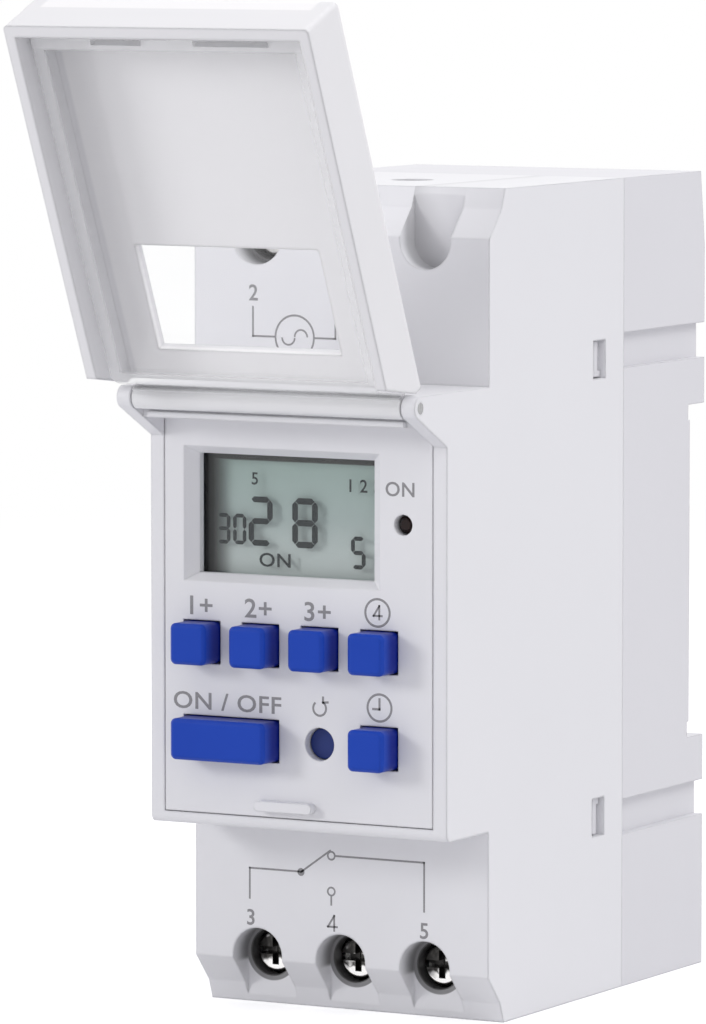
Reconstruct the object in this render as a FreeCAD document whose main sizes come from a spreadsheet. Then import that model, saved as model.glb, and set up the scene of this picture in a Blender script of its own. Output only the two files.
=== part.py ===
import FreeCAD, Part
import math
import os
import Sketcher
from types import SimpleNamespace
from FreeCAD import Placement, Rotation, Vector

# Timer switch for a 35 mm rail, two modules wide.
# X runs across the width, +Y points from the front face to the rail, and +Z is up.
# The origin is on the rail seat, at the middle of the rail. Every length is in millimetres.

doc = FreeCAD.newDocument("timer_switch")
sheet = doc.addObject("Spreadsheet::Sheet", "Sizes")

PAST = 5.0      # how far a cut runs past the face that it opens
TOUCH = 0.3     # how far a joined feature reaches into the solid that carries it


class Size:
    """A number together with the sheet expression that it comes from."""

    def __init__(self, value, text):
        self.value = value
        self.text = text

    def __add__(self, other):
        other = size(other)
        return Size(self.value + other.value, f"({self.text} + {other.text})")

    def __radd__(self, other):
        return size(other) + self

    def __sub__(self, other):
        other = size(other)
        return Size(self.value - other.value, f"({self.text} - {other.text})")

    def __rsub__(self, other):
        return size(other) - self

    def __mul__(self, other):
        other = size(other)
        return Size(self.value * other.value, f"({self.text} * {other.text})")

    def __rmul__(self, other):
        return size(other) * self

    def __truediv__(self, other):
        other = size(other)
        return Size(self.value / other.value, f"({self.text} / {other.text})")

    def __neg__(self):
        return Size(-self.value, f"(-{self.text})")


def size(number):
    if isinstance(number, Size):
        return number
    return Size(float(number), f"({float(number)})")


def sine(degrees):
    return Size(math.sin(math.radians(degrees.value)), f"sin({degrees.text} * 1 deg)")


def cosine(degrees):
    return Size(math.cos(math.radians(degrees.value)), f"cos({degrees.text} * 1 deg)")


def tangent(degrees):
    return Size(math.tan(math.radians(degrees.value)), f"tan({degrees.text} * 1 deg)")


SIZES = {
    # Outside of the casing
    "width": 35,
    "height": 87,
    "seat_depth": 47,
    "frame_depth": 56.2,
    "rear_lip": 3.5,
    "seam_depth": 16.1,
    "wall": 1.8,
    "end_setback": 3.5,
    "bevel_depth": 2.7,
    "bevel_run": 3,
    "bevel_length": 5.1,
    "front_bottom": 23.1,
    "front_rounding": 0.8,
    "rear_set_in": 1,
    "rear_set_in_length": 8,
    # Rail channel and its latch
    "rail_width": 35,
    "rail_play": 0.7,
    "rail_grip": 1.4,
    "hook_cover": 0.8,
    "hook_width": 6,
    "hook_spacing": 22,
    "seat_relief": 0.4,
    "seat_margin": 0.2,
    "base_floor": 2,
    "latch_width": 13.2,
    "latch_flange": 1.6,
    "latch_length": 19.5,
    "latch_play": 0.15,
    "latch_travel": 3,
    "latch_foot": 0.5,
    "latch_deep": 2.85,
    "driver_slot": 6.6,
    "driver_slot_tall": 1.8,
    "driver_slot_edge": 1.9,
    "spring_wire": 0.45,
    "spring_radius": 1.05,
    "spring_length": 11,
    "spring_pitch": 1.83,
    "hook_land": 0.5,
    # Hinge and lid
    "hinge_depth": 62,
    "hinge_height": 21.95,
    "boss_radius": 1.2,
    "cheek": 1.6,
    "cheek_slope": 27.5,
    "pin_radius": 0.6,
    "pin_length": 5.2,
    "pin_play": 0.05,
    "barrel_radius": 1.2,
    "hinge_play": 0.3,
    "ledge_thickness": 3.35,
    "ledge_nose_end": 0.8,
    "lid_open": 156,
    "lid_end_play": 0.1,
    "lid_front": 2,
    "lid_rim": 5.65,
    "lid_heel": 5,
    "lid_back": 1.85,
    "lid_wall": 1.3,
    "lid_side": 1.2,
    "lid_corner_rounding": 0.5,
    "lid_edge_rounding": 1.5,
    "lid_window_over": 0.8,
    "lid_window_under": 1.3,
    "lid_window_left": 0.05,
    "lid_window_right": 0.85,
    "lens_thickness": 1.2,
    "lens_skirt": 3.4,
    "lens_slope": 1.8,
    "lens_slope_end": 0.5,
    "lens_foot": 3.7,
    "lens_end": 2,
    "lens_rounding": 1,
    "lens_play": 0.1,
    "catch_middle": -1.3,
    "catch_width": 6.8,
    "catch_tall": 1.1,
    "catch_proud": 1,
    "catch_gap": 0.6,
    "catch_rounding": 0.5,
    "nub_width": 4.8,
    "nub_proud": 0.25,
    "nub_depth": 0.4,
    "slot_across": 0.6,
    "slot_setback": 0.8,
    "slot_inner": 3,
    "slot_left": 5.8,
    "slot_right": 8.6,
    # Face plate, display and keys
    "plate_thickness": 2,
    "plate_drop": 1.35,
    "plate_play": 0.1,
    "plate_rest": 1.2,
    "display_left": 3.5,
    "display_right": 7.4,
    "display_height": 9.55,
    "display_tall": 12.5,
    "display_bevel_side": 1.25,
    "display_bevel_end": 0.8,
    "display_bevel_depth": 1.2,
    "glass_thickness": 2.4,
    "glass_border": 0.8,
    "glass_gap": 0.1,
    "key_left": 4.4,
    "key_right": 6.2,
    "key_width": 4.2,
    "key_tall": 4.3,
    "key_row": -3.85,
    "key_row_step": 9.95,
    "key_proud": 3.2,
    "key_play": 0.12,
    "key_travel": 0.5,
    "key_flange": 0.6,
    "key_flange_deep": 0.8,
    "key_stem": 2.4,
    "key_rounding": 0.6,
    "key_chamfer": 0.3,
    "reset_radius": 1.6,
    "reset_sunk": 1,
    "led_right": 3.4,
    "led_height": 9.4,
    "led_radius": 0.95,
    "led_length": 4.2,
    "led_dome": 0.4,
    "led_rim": 0.3,
    "led_rim_tall": 0.8,
    "led_leg": 0.5,
    "led_leg_gap": 1.2,
    # Boards and what they carry
    "board_depth": 48,
    "board_thickness": 1.6,
    "board_rest": 1.5,
    "board_play": 0.25,
    "switch_side": 4.5,
    "switch_tall": 1.9,
    "plunger_side": 2,
    "plunger_tall": 0.9,
    "chip_side": 9,
    "chip_thickness": 1.4,
    "chip_across": -7,
    "chip_height": -10,
    "crystal_radius": 1.5,
    "crystal_length": 8,
    "crystal_across": 7,
    "crystal_foot": -13,
    "battery_radius": 6.2,
    "battery_tall": 5.2,
    "battery_height": 5,
    "clip_sheet": 0.4,
    "clip_width": 5,
    "header_height": -16.2,
    "header_bar": 2.5,
    "header_pitch": 2.54,
    "header_pin": 0.64,
    "power_depth": 33.6,
    "relay_side": 1.8,
    "relay_width": 12.7,
    "relay_foot": -1,
    "relay_length": 29,
    "relay_tall": 15.7,
    "film_side": 3.7,
    "film_width": 8.5,
    "film_foot": -26,
    "film_length": 18,
    "film_tall": 14.5,
    "case_rounding": 0.6,
    "can_side": 8.2,
    "can_height": 18,
    "can_radius": 5,
    "can_tall": 11.5,
    "diode_side": 2.7,
    "diode_pitch": 3.6,
    "diode_radius": 1.35,
    "diode_length": 5.2,
    "diode_foot": -16,
    "resistor_gap": 0.4,
    "resistor_height": -26,
    "resistor_radius": 1.9,
    "resistor_length": 9,
    "lead": 0.7,
    "lead_reach": 1.6,
    # Terminals
    "terminal_pitch": 10,
    "terminal_inset": 5.5,
    "recess_radius": 2.95,
    "recess_depth": 3.2,
    "head_radius": 2.15,
    "head_height": 2.1,
    "head_chamfer": 0.35,
    "head_sunk": 0.7,
    "head_play": 0.35,
    "slot_wide": 0.7,
    "slot_deep": 1,
    "slot_cross": 2.9,
    "screw_radius": 1.5,
    "screw_play": 0.1,
    "cage_width": 6.6,
    "cage_long": 6.4,
    "cage_tall": 9,
    "cage_wall": 1,
    "cage_play": 0.3,
    "cage_rest": 1.2,
    "clamp_travel": 3,
    "bar_thickness": 1,
    "bar_width": 3.8,
    "bar_play": 0.1,
    "wire_radius": 2.2,
    # Snap joint between the halves of the casing, and the grooves in their sides
    "snap_height": 24.45,
    "snap_tall": 4.1,
    "snap_window": 2.9,
    "snap_depth": 21.85,
    "snap_arm": 1.3,
    "snap_play": 0.15,
    "groove_height": 25.1,
    "groove_tall": 3.8,
    "groove_depth": 1,
}

for row, (name, value) in enumerate(SIZES.items(), 1):
    sheet.set(f"A{row}", name)
    sheet.set(f"B{row}", str(value))
    sheet.setAlias(f"B{row}", name)
doc.recompute()
s = SimpleNamespace(**{name: Size(float(value), f"Sizes.{name}") for name, value in SIZES.items()})

# Places that several pieces share
half_width = s.width / 2
half_height = s.height / 2
slot_half = s.rail_width / 2 + s.rail_play
hook_edge = s.rail_width / 2 - s.hook_cover
seat_half = hook_edge - s.seat_margin
inner_half = half_width - s.cheek
seam_y = -s.seam_depth
seat_y = -s.seat_depth
frame_y = -s.frame_depth
terminal_height = half_height - s.terminal_inset
ledge_top = s.hinge_height + s.boss_radius
ledge_under = ledge_top - s.ledge_thickness
ledge_y = -(s.hinge_depth - s.barrel_radius - s.hinge_play)
nose_y = -(s.hinge_depth - s.lens_thickness / 2 - s.hinge_play)
lid_length = s.hinge_height + s.front_bottom - s.lid_end_play
plate_half = inner_half - s.plate_play
plate_low = s.plate_drop - s.front_bottom
plate_high = ledge_under - s.plate_play
plate_back = frame_y + s.plate_thickness
display_sides = (s.display_left - plate_half, plate_half - s.display_right)
display_ends = (s.display_height - s.display_tall / 2, s.display_height + s.display_tall / 2)
key_first = s.key_left - plate_half
key_pitch = (plate_half - s.key_right - key_first) / 3
led_across = plate_half - s.led_right
recess_y = seat_y + s.recess_depth
floor_back = recess_y + s.wall
board_front = -s.board_depth
board_back = board_front + s.board_thickness
board_half = inner_half - s.plate_rest - s.board_play
board_low = plate_low + s.plate_rest + s.board_play
board_high = plate_high - s.plate_rest - s.board_play
power_front = -s.power_depth
power_back = power_front + s.board_thickness
cavity_side = half_width - s.wall
pocket_half = s.cage_long / 2 + s.cage_play
pocket_inner = terminal_height - pocket_half
cavity_end = pocket_inner - s.wall
bar_front = power_front - s.bar_thickness
cage_front = bar_front - s.cage_wall - s.screw_play - s.cage_rest
cage_back = cage_front + s.cage_tall
wire_y = (power_front + cage_back - s.cage_wall) / 2
glass_front = plate_back + s.glass_gap
glass_back = glass_front + s.glass_thickness
switch_top = board_front - s.switch_tall - s.plunger_tall
key_foot = switch_top - s.key_travel
key_front = frame_y - s.key_proud
head_front = recess_y + s.head_sunk
head_back = head_front + s.head_height
latch_front = s.rear_lip - s.latch_play - s.latch_deep
latch_top = -(slot_half + s.rail_play)
latch_low = latch_top - s.latch_length

KEYS = {
    "button_minute": (0, 0, 0),
    "button_hour": (1, 0, 0),
    "button_day": (2, 0, 0),
    "button_program": (3, 0, 0),
    "button_manual": (0.5, 1, 1),
    "button_clock": (3, 1, 0),
}
TERMINALS = {1: (0, 1), 2: (-1, 1), 3: (-1, -1), 4: (0, -1), 5: (1, -1)}
BLANK = (1, 1)
HEADER_PINS = 8
DIODES = 4
WIRE_SIDES = 6


def new_body(name):
    body = doc.addObject("PartDesign::Body", name)
    body.Label = name
    return body


def origin_item(body, role):
    return [item for item in body.Origin.OriginFeatures if item.Role == role][0]


def new_sketch(body, name, plane, offset):
    """A sketch on the body's XY, XZ or YZ plane, moved along X, Y or Z to the offset."""
    sketch = body.newObject("Sketcher::SketchObject", name)
    sketch.AttachmentSupport = [(origin_item(body, plane + "_Plane"), "")]
    sketch.MapMode = "FlatFace"
    # the XZ plane looks along -Y
    shift = -size(offset) if plane == "XZ" else size(offset)
    sketch.setExpression(".AttachmentOffset.Base.z", shift.text)
    return sketch


def hold(sketch, kind, where, length):
    number = sketch.addConstraint(Sketcher.Constraint(kind, *where, length.value))
    sketch.setExpression(f"Constraints[{number}]", length.text)


def hold_point(sketch, item, end, across, up):
    hold(sketch, "DistanceX", (-1, 1, item, end), across)
    hold(sketch, "DistanceY", (-1, 1, item, end), up)


def flat(across, up):
    return Vector(across.value, up.value, 0)


def add_loop(sketch, corners):
    """A closed loop of straight runs through corners given as (across, up)."""
    first = sketch.GeometryCount
    corners = [(size(across), size(up)) for across, up in corners]
    count = len(corners)
    for index in range(count):
        sketch.addGeometry(Part.LineSegment(flat(*corners[index]), flat(*corners[(index + 1) % count])))
    for index in range(count):
        joint = (first + index, 2, first + (index + 1) % count, 1)
        sketch.addConstraint(Sketcher.Constraint("Coincident", *joint))
    for index, (across, up) in enumerate(corners):
        hold_point(sketch, first + index, 1, across, up)


def add_arc_loop(sketch, centre, radius, turn, corners):
    """A closed loop of one arc, run from turn[0] to turn[1] degrees, and straight runs after it."""
    first = sketch.GeometryCount
    across, up = size(centre[0]), size(centre[1])
    corners = [(size(a), size(b)) for a, b in corners]
    circle = Part.Circle(flat(across, up), Vector(0, 0, 1), radius.value)
    sketch.addGeometry(Part.ArcOfCircle(circle, *[math.radians(size(angle).value) for angle in turn]))
    start, end = [
        (across + radius * cosine(size(angle)), up + radius * sine(size(angle))) for angle in turn
    ]
    stops = [end] + corners + [start]
    for index in range(len(stops) - 1):
        sketch.addGeometry(Part.LineSegment(flat(*stops[index]), flat(*stops[index + 1])))
    count = len(stops)
    for index in range(count):
        joint = (first + index, 2, first + (index + 1) % count, 1)
        sketch.addConstraint(Sketcher.Constraint("Coincident", *joint))
    hold(sketch, "Radius", (first,), radius)
    hold_point(sketch, first, 3, across, up)
    for end_number, angle, point in ((1, turn[0], start), (2, turn[1], end)):
        # an end near the top or bottom of the circle is held by its place across
        steep = abs(math.sin(math.radians(size(angle).value))) > 0.7
        hold(sketch, "DistanceX" if steep else "DistanceY", (-1, 1, first, end_number), point[not steep])
    for index, (a, b) in enumerate(corners):
        hold_point(sketch, first + 2 + index, 1, a, b)


def add_circle(sketch, across, up, radius):
    across, up, radius = size(across), size(up), size(radius)
    item = sketch.addGeometry(Part.Circle(flat(across, up), Vector(0, 0, 1), radius.value))
    hold_point(sketch, item, 3, across, up)
    hold(sketch, "Radius", (item,), radius)


def corners_of(across, up):
    return [(across[0], up[0]), (across[1], up[0]), (across[1], up[1]), (across[0], up[1])]


def middle(centre, length):
    """The two ends of a length about its centre."""
    return (size(centre) - size(length) / 2, size(centre) + size(length) / 2)


def pad(body, name, sketch, length, both_sides=False, against=False):
    feature = body.newObject("PartDesign::Pad", name)
    feature.Profile = sketch
    feature.setExpression("Length", size(length).text)
    feature.SideType = "Symmetric" if both_sides else "One side"
    feature.Reversed = against
    body.Tip = feature
    return feature


def pocket(body, name, sketch, length, both_sides=False, against=False):
    """A cut that has to take something away."""
    doc.recompute()
    before = body.Tip.Shape.Volume
    feature = body.newObject("PartDesign::Pocket", name)
    feature.Profile = sketch
    feature.setExpression("Length", size(length).text)
    feature.SideType = "Symmetric" if both_sides else "One side"
    feature.Reversed = against
    body.Tip = feature
    doc.recompute()
    if feature.Shape.isNull() or feature.Shape.Volume > before - 1e-6:
        raise RuntimeError(f"{name} cuts nothing")
    return feature


def add_block(body, name, across, depth, up):
    """Add a block between two places along X, Y and Z."""
    sketch = new_sketch(body, name + "_outline", "XZ", depth[1])
    add_loop(sketch, corners_of(across, up))
    return pad(body, name, sketch, size(depth[1]) - depth[0])


def cut_block(body, name, across, depth, up):
    return cut_blocks(body, name, depth, [(across, up)])


def cut_blocks(body, name, depth, openings):
    """Cut blocks that share the two places along Y. Each opening is (across, up)."""
    sketch = new_sketch(body, name + "_outline", "XZ", depth[1])
    for across, up in openings:
        add_loop(sketch, corners_of(across, up))
    return pocket(body, name, sketch, size(depth[1]) - depth[0], against=True)


def cut_rounds(body, name, depth, places):
    """Cut round holes along Y. Each place is (across, up, radius)."""
    sketch = new_sketch(body, name + "_outline", "XZ", depth[1])
    for place in places:
        add_circle(sketch, *place)
    return pocket(body, name, sketch, size(depth[1]) - depth[0], against=True)


def turned(body, name, points, centre):
    """Turn an outline of (radius, place along Y) about a line along Y through the centre."""
    sketch = new_sketch(body, name + "_outline", "XY", centre[1])
    add_loop(sketch, [(centre[0] + size(radius), place) for radius, place in points])
    axis = sketch.addGeometry(Part.LineSegment(Vector(0, -1, 0), Vector(0, 1, 0)), True)
    hold(sketch, "DistanceX", (-1, 1, axis, 1), size(centre[0]))
    hold(sketch, "DistanceX", (-1, 1, axis, 2), size(centre[0]))
    hold(sketch, "DistanceY", (-1, 1, axis, 1), size(-1))
    hold(sketch, "DistanceY", (-1, 1, axis, 2), size(1))
    feature = body.newObject("PartDesign::Revolution", name)
    feature.Profile = sketch
    feature.ReferenceAxis = (sketch, ["Axis0"])
    feature.Angle = 360
    body.Tip = feature
    return feature


def near(value, place):
    return abs(value - size(place).value) < 0.02


def round_edges(body, name, radius, picks):
    """Round the straight edges that picks chooses by their middle and direction."""
    doc.recompute()
    base = body.Tip
    names = []
    for number, edge in enumerate(base.Shape.Edges, 1):
        if edge.Curve.TypeId != "Part::GeomLine":
            continue
        start, end = edge.Vertexes[0].Point, edge.Vertexes[-1].Point
        if picks((start + end) / 2, (end - start).normalize()):
            names.append(f"Edge{number}")
    if not names:
        raise RuntimeError(f"{name} finds no edge")
    feature = body.newObject("PartDesign::Fillet", name)
    feature.Base = (base, names)
    feature.setExpression("Radius", size(radius).text)
    body.Tip = feature
    return feature


def chamfer_front(body, name, length):
    """Chamfer every edge of the face that is nearest to the viewer."""
    doc.recompute()
    base = body.Tip
    faces = base.Shape.Faces
    front = min(range(len(faces)), key=lambda number: faces[number].CenterOfMass.y)
    feature = body.newObject("PartDesign::Chamfer", name)
    feature.Base = (base, [f"Face{front + 1}"])
    feature.setExpression("Size", size(length).text)
    body.Tip = feature
    return feature


def place_at(item, at, rotation=Rotation()):
    item.Placement = Placement(Vector(*[size(value).value for value in at]), rotation)
    for letter, value in zip("xyz", at):
        item.setExpression(f".Placement.Base.{letter}", size(value).text)
    return item


def box(name, across, depth, up):
    item = doc.addObject("Part::Box", name)
    for prop, (low, high) in (("Length", across), ("Width", depth), ("Height", up)):
        item.setExpression(prop, (size(high) - low).text)
    return place_at(item, (across[0], depth[0], up[0]))


ALONG = {
    "X": Rotation(Vector(0, 1, 0), 90),
    "Y": Rotation(Vector(1, 0, 0), -90),
    "Z": Rotation(),
}


def rod(name, radius, length, at, along):
    item = doc.addObject("Part::Cylinder", name)
    item.setExpression("Radius", size(radius).text)
    item.setExpression("Height", size(length).text)
    return place_at(item, at, ALONG[along])


def joined(name, pieces):
    item = doc.addObject("Part::MultiFuse", name)
    item.Shapes = pieces
    return item


def grouped(name, pieces):
    item = doc.addObject("Part::Compound", name)
    item.Links = pieces
    return item


def terminal_place(number):
    step, side = TERMINALS[number]
    return s.terminal_pitch * step, terminal_height * side, side


def key_place(name):
    """Middle and width of a key. A wide key spans two of the places in its row."""
    column, row, extra = KEYS[name]
    across, up = key_first + key_pitch * column, s.key_row - s.key_row_step * row
    return across, up, s.key_width + key_pitch * extra


def key_hole(name, play):
    across, up, wide = key_place(name)
    return middle(across, wide + play * 2), middle(up, s.key_tall + play * 2)


def reset_place():
    return key_first + key_pitch * 2, s.key_row - s.key_row_step


def widened(ends, by):
    return (ends[0] - by, ends[1] + by)


def front_housing():
    body = new_body("front_housing")
    sketch = new_sketch(body, "casing_side", "YZ", 0)
    end_y = seat_y + s.end_setback
    bevel_y = seat_y + s.bevel_depth
    crest = half_height - s.bevel_length
    bevel_z = crest + s.bevel_run
    add_loop(sketch, [
        (seam_y, -half_height), (end_y, -half_height), (bevel_y, -bevel_z), (seat_y, -crest),
        (seat_y, -s.front_bottom), (frame_y, -s.front_bottom), (frame_y, ledge_top), (seat_y, ledge_top),
        (seat_y, crest), (bevel_y, bevel_z), (end_y, half_height), (seam_y, half_height),
    ])
    pad(body, "casing", sketch, s.width, both_sides=True)
    round_edges(body, "front_underside", s.front_rounding,
                lambda at, way: near(at.y, frame_y) and near(at.z, -s.front_bottom))

    # the ledge that carries the hinge, and the cheeks beside it
    reach = frame_y + TOUCH
    add_block(body, "ledge", (-inner_half - TOUCH, inner_half + TOUCH), (ledge_y, reach),
              (ledge_under, ledge_top))
    nose_half = inner_half - s.ledge_nose_end
    nose_high = s.hinge_height - s.barrel_radius - s.hinge_play
    add_block(body, "ledge_nose", (-nose_half, nose_half), (nose_y, ledge_y + TOUCH),
              (ledge_under, nose_high))
    slope_y = -(s.hinge_depth + s.boss_radius * sine(s.cheek_slope))
    slope_z = s.hinge_height - s.boss_radius * cosine(s.cheek_slope)
    foot_z = slope_z - (reach - slope_y) * tangent(s.cheek_slope)
    for side, place in (("left", -half_width), ("right", inner_half)):
        sketch = new_sketch(body, f"{side}_cheek_side", "YZ", place)
        add_arc_loop(sketch, (-s.hinge_depth, s.hinge_height), s.boss_radius, (90, 270 - s.cheek_slope),
                     [(reach, foot_z), (reach, ledge_top)])
        pad(body, f"{side}_cheek", sketch, s.cheek)
    sketch = new_sketch(body, "pin_holes_outline", "YZ", 0)
    add_circle(sketch, -s.hinge_depth, s.hinge_height, s.pin_radius)
    pocket(body, "pin_holes", sketch, s.width + PAST, both_sides=True)

    # the opening for the plate, the chamber for the display board and the room behind it
    plate_side = plate_half + s.plate_play
    cut_block(body, "plate_opening", (-plate_side, plate_side), (frame_y - PAST, plate_back),
              (plate_low - s.plate_play, ledge_under))
    chamber = inner_half - s.plate_rest
    cut_block(body, "display_chamber", (-chamber, chamber), (plate_back - TOUCH, board_back),
              (plate_low + s.plate_rest, plate_high - s.plate_rest))
    room = chamber - s.board_rest
    cut_block(body, "board_opening", (-room, room), (board_back - TOUCH, seat_y + s.wall + TOUCH),
              (board_low + s.board_rest, board_high - s.board_rest))
    front_room = cavity_side - s.board_rest
    cut_block(body, "front_room", (-front_room, front_room), (seat_y + s.wall, power_front),
              (s.board_rest - cavity_end, cavity_end - s.board_rest))
    cut_block(body, "power_room", (-cavity_side, cavity_side), (power_front - TOUCH, seam_y + PAST),
              (-cavity_end, cavity_end))

    # round-ended recesses over the screws. One of the upper three is blank.
    sketch = new_sketch(body, "recesses_outline", "XZ", recess_y)
    for step, side in list(TERMINALS.values()) + [BLANK]:
        across, up = s.terminal_pitch * step, terminal_height * side
        turn = (180, 360) if side > 0 else (0, 180)
        far = half_height * side + PAST * side
        ends = [(across + s.recess_radius * side, far), (across - s.recess_radius * side, far)]
        add_arc_loop(sketch, (across, up), s.recess_radius, turn, ends)
    pocket(body, "recesses", sketch, s.recess_depth + PAST, against=True)
    places = [terminal_place(number)[:2] + (s.head_radius + s.head_play,) for number in TERMINALS]
    cut_rounds(body, "head_holes", (recess_y - TOUCH, floor_back + TOUCH), places)

    # the shafts that guide the clamps, the slots for their bars and the holes for the wires
    pocket_side = s.cage_width / 2 + s.cage_play
    bar_half = s.bar_width / 2 + s.bar_play
    shafts, slots = [], []
    for number in TERMINALS:
        across, up, side = terminal_place(number)
        shafts.append(((across - pocket_side, across + pocket_side), (up - pocket_half, up + pocket_half)))
        inner, outer = (cavity_end - s.board_rest - TOUCH) * side, (pocket_inner + TOUCH) * side
        slots.append(((across - bar_half, across + bar_half), (inner, outer)))
    cut_blocks(body, "clamp_shafts", (floor_back, seam_y + PAST), shafts)
    cut_blocks(body, "bar_slots", (bar_front - s.screw_play, seam_y + PAST), slots)
    for side, name in ((1, "upper"), (-1, "lower")):
        sketch = new_sketch(body, f"{name}_wire_holes_outline", "XY", (half_height + PAST) * side)
        for number in TERMINALS:
            across, up, own_side = terminal_place(number)
            if own_side == side:
                add_circle(sketch, across, wire_y, s.wire_radius)
        reach = half_height + PAST - terminal_height
        pocket(body, f"{name}_wire_holes", sketch, reach, against=side < 0)

    # windows for the snap hooks
    window = middle(-s.snap_depth, s.snap_window)
    for side, name in ((1, "upper"), (-1, "lower")):
        sketch = new_sketch(body, f"{name}_snap_windows_outline", "YZ", 0)
        add_loop(sketch, corners_of(window, middle(s.snap_height * side, s.snap_tall)))
        pocket(body, f"{name}_snap_windows", sketch, s.width + PAST, both_sides=True)
    return body


def rear_base():
    body = new_body("rear_base")
    sketch = new_sketch(body, "base_side", "YZ", 0)
    add_loop(sketch, [
        (seam_y, -half_height), (seam_y, half_height), (s.rear_lip - s.rear_set_in, half_height),
        (s.rear_lip, half_height - s.rear_set_in_length), (s.rear_lip, slot_half),
        (-s.seat_relief, slot_half), (-s.seat_relief, seat_half), (0, seat_half), (0, -seat_half),
        (-s.seat_relief, -seat_half), (-s.seat_relief, -slot_half), (s.rear_lip, -slot_half),
        (s.rear_lip, -half_height),
    ])
    pad(body, "base", sketch, s.width, both_sides=True)
    cut_block(body, "base_room", (-cavity_side, cavity_side), (seam_y - PAST, -s.base_floor),
              (-cavity_end, cavity_end))
    far = half_height - s.wall
    ends = [((-cavity_side, cavity_side), (pocket_inner, far)),
            ((-cavity_side, cavity_side), (-far, -pocket_inner))]
    cut_blocks(body, "end_rooms", (seam_y - PAST, -s.base_floor), ends)

    # fixed hooks over the upper edge of the rail
    for side, name in ((-1, "left"), (1, "right")):
        sketch = new_sketch(body, f"{name}_hook_side", "YZ", (s.hook_spacing * side - s.hook_width) / 2)
        add_loop(sketch, [
            (s.rail_grip, slot_half + TOUCH), (s.rail_grip, hook_edge),
            (s.rail_grip + s.hook_land, hook_edge), (s.rear_lip, slot_half - s.hook_land),
            (s.rear_lip, slot_half + TOUCH),
        ])
        pad(body, f"{name}_hook", sketch, s.hook_width)

    # the track of the rail latch, open at the rear and at the bottom
    track = s.latch_width / 2 + s.latch_play
    flange_track = track + s.latch_flange
    cut_block(body, "latch_track", (-track, track), (latch_front - s.latch_play, s.rear_lip + PAST),
              (-half_height - PAST, -slot_half + TOUCH))
    flange_low = latch_low - s.latch_travel - s.latch_play * 2
    flange_back = latch_front + s.latch_deep / 2 + s.latch_play
    cut_block(body, "flange_track", (-flange_track, flange_track),
              (latch_front - s.latch_play, flange_back), (flange_low, -slot_half + TOUCH))
    stop_high = latch_top - s.spring_length - s.spring_radius * 2
    add_block(body, "spring_stop", (-s.spring_radius, s.spring_radius),
              (latch_front - s.latch_play - TOUCH, s.rear_lip - s.latch_play * 4),
              (stop_high - s.wall, stop_high))

    # snap arms with their hooks, and the grooves in the sides
    window = middle(-s.snap_depth, s.snap_window)
    arm_tall = s.snap_tall - s.snap_play * 2
    for side in (-1, 1):
        for up in (-1, 1):
            name = ("left" if side < 0 else "right") + ("_lower" if up < 0 else "_upper")
            near_face, far_face = cavity_side - s.snap_play, cavity_side - s.snap_play - s.snap_arm
            across = (near_face, far_face) if side < 0 else (far_face, near_face)
            across = tuple(value * side for value in across)
            tall = middle(s.snap_height * up, arm_tall)
            add_block(body, f"{name}_snap_arm", across, (window[0] - s.snap_arm, -s.base_floor + TOUCH), tall)
            sketch = new_sketch(body, f"{name}_snap_nose_outline", "XY", tall[0])
            nose = half_width - s.snap_play * 4
            add_loop(sketch, [
                ((near_face - TOUCH) * side, window[0] + s.snap_play),
                (near_face * side, window[0] + s.snap_play),
                (nose * side, window[0] + s.snap_play + s.snap_arm),
                (nose * side, window[1] - s.snap_play),
                ((near_face - TOUCH) * side, window[1] - s.snap_play),
            ])
            pad(body, f"{name}_snap_nose", sketch, arm_tall)
    groove = half_width - s.groove_depth
    grooves = []
    for up in (-1, 1):
        tall = middle(s.groove_height * up, s.groove_tall)
        grooves += [((groove, half_width + PAST), tall), ((-half_width - PAST, -groove), tall)]
    cut_blocks(body, "side_grooves", (seam_y - PAST, s.rear_lip + PAST), grooves)
    return body


def rail_latch():
    body = new_body("rail_latch")
    back = s.rear_lip - s.latch_play
    tail_front = latch_front + s.latch_deep / 2 + s.latch_play * 3
    foot = s.latch_foot - half_height
    sketch = new_sketch(body, "latch_side", "YZ", 0)
    add_loop(sketch, [
        (latch_front, latch_low), (latch_front, latch_top), (s.rail_grip, latch_top),
        (s.rail_grip, -hook_edge), (s.rail_grip + s.hook_land, -hook_edge), (back, s.hook_land - slot_half),
        (back, foot), (tail_front, foot), (tail_front, latch_low),
    ])
    pad(body, "latch_plate", sketch, s.latch_width, both_sides=True)
    flange = s.latch_width / 2 + s.latch_flange
    add_block(body, "flanges", (-flange, flange), (latch_front, latch_front + s.latch_deep / 2),
              (latch_low, latch_top))
    stop_low = latch_top - s.spring_length - s.spring_radius * 2 - s.wall
    spring_half = s.spring_radius + s.spring_wire / 2 + s.latch_play
    cut_block(body, "spring_window", (-spring_half, spring_half), (latch_front - PAST, back + PAST),
              (stop_low - s.latch_play * 2, latch_top - s.spring_radius * 2))
    slot_low = foot + s.driver_slot_edge
    cut_block(body, "driver_slot", middle(0, s.driver_slot), (tail_front - PAST, back + PAST),
              (slot_low, slot_low + s.driver_slot_tall))
    return body


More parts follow.
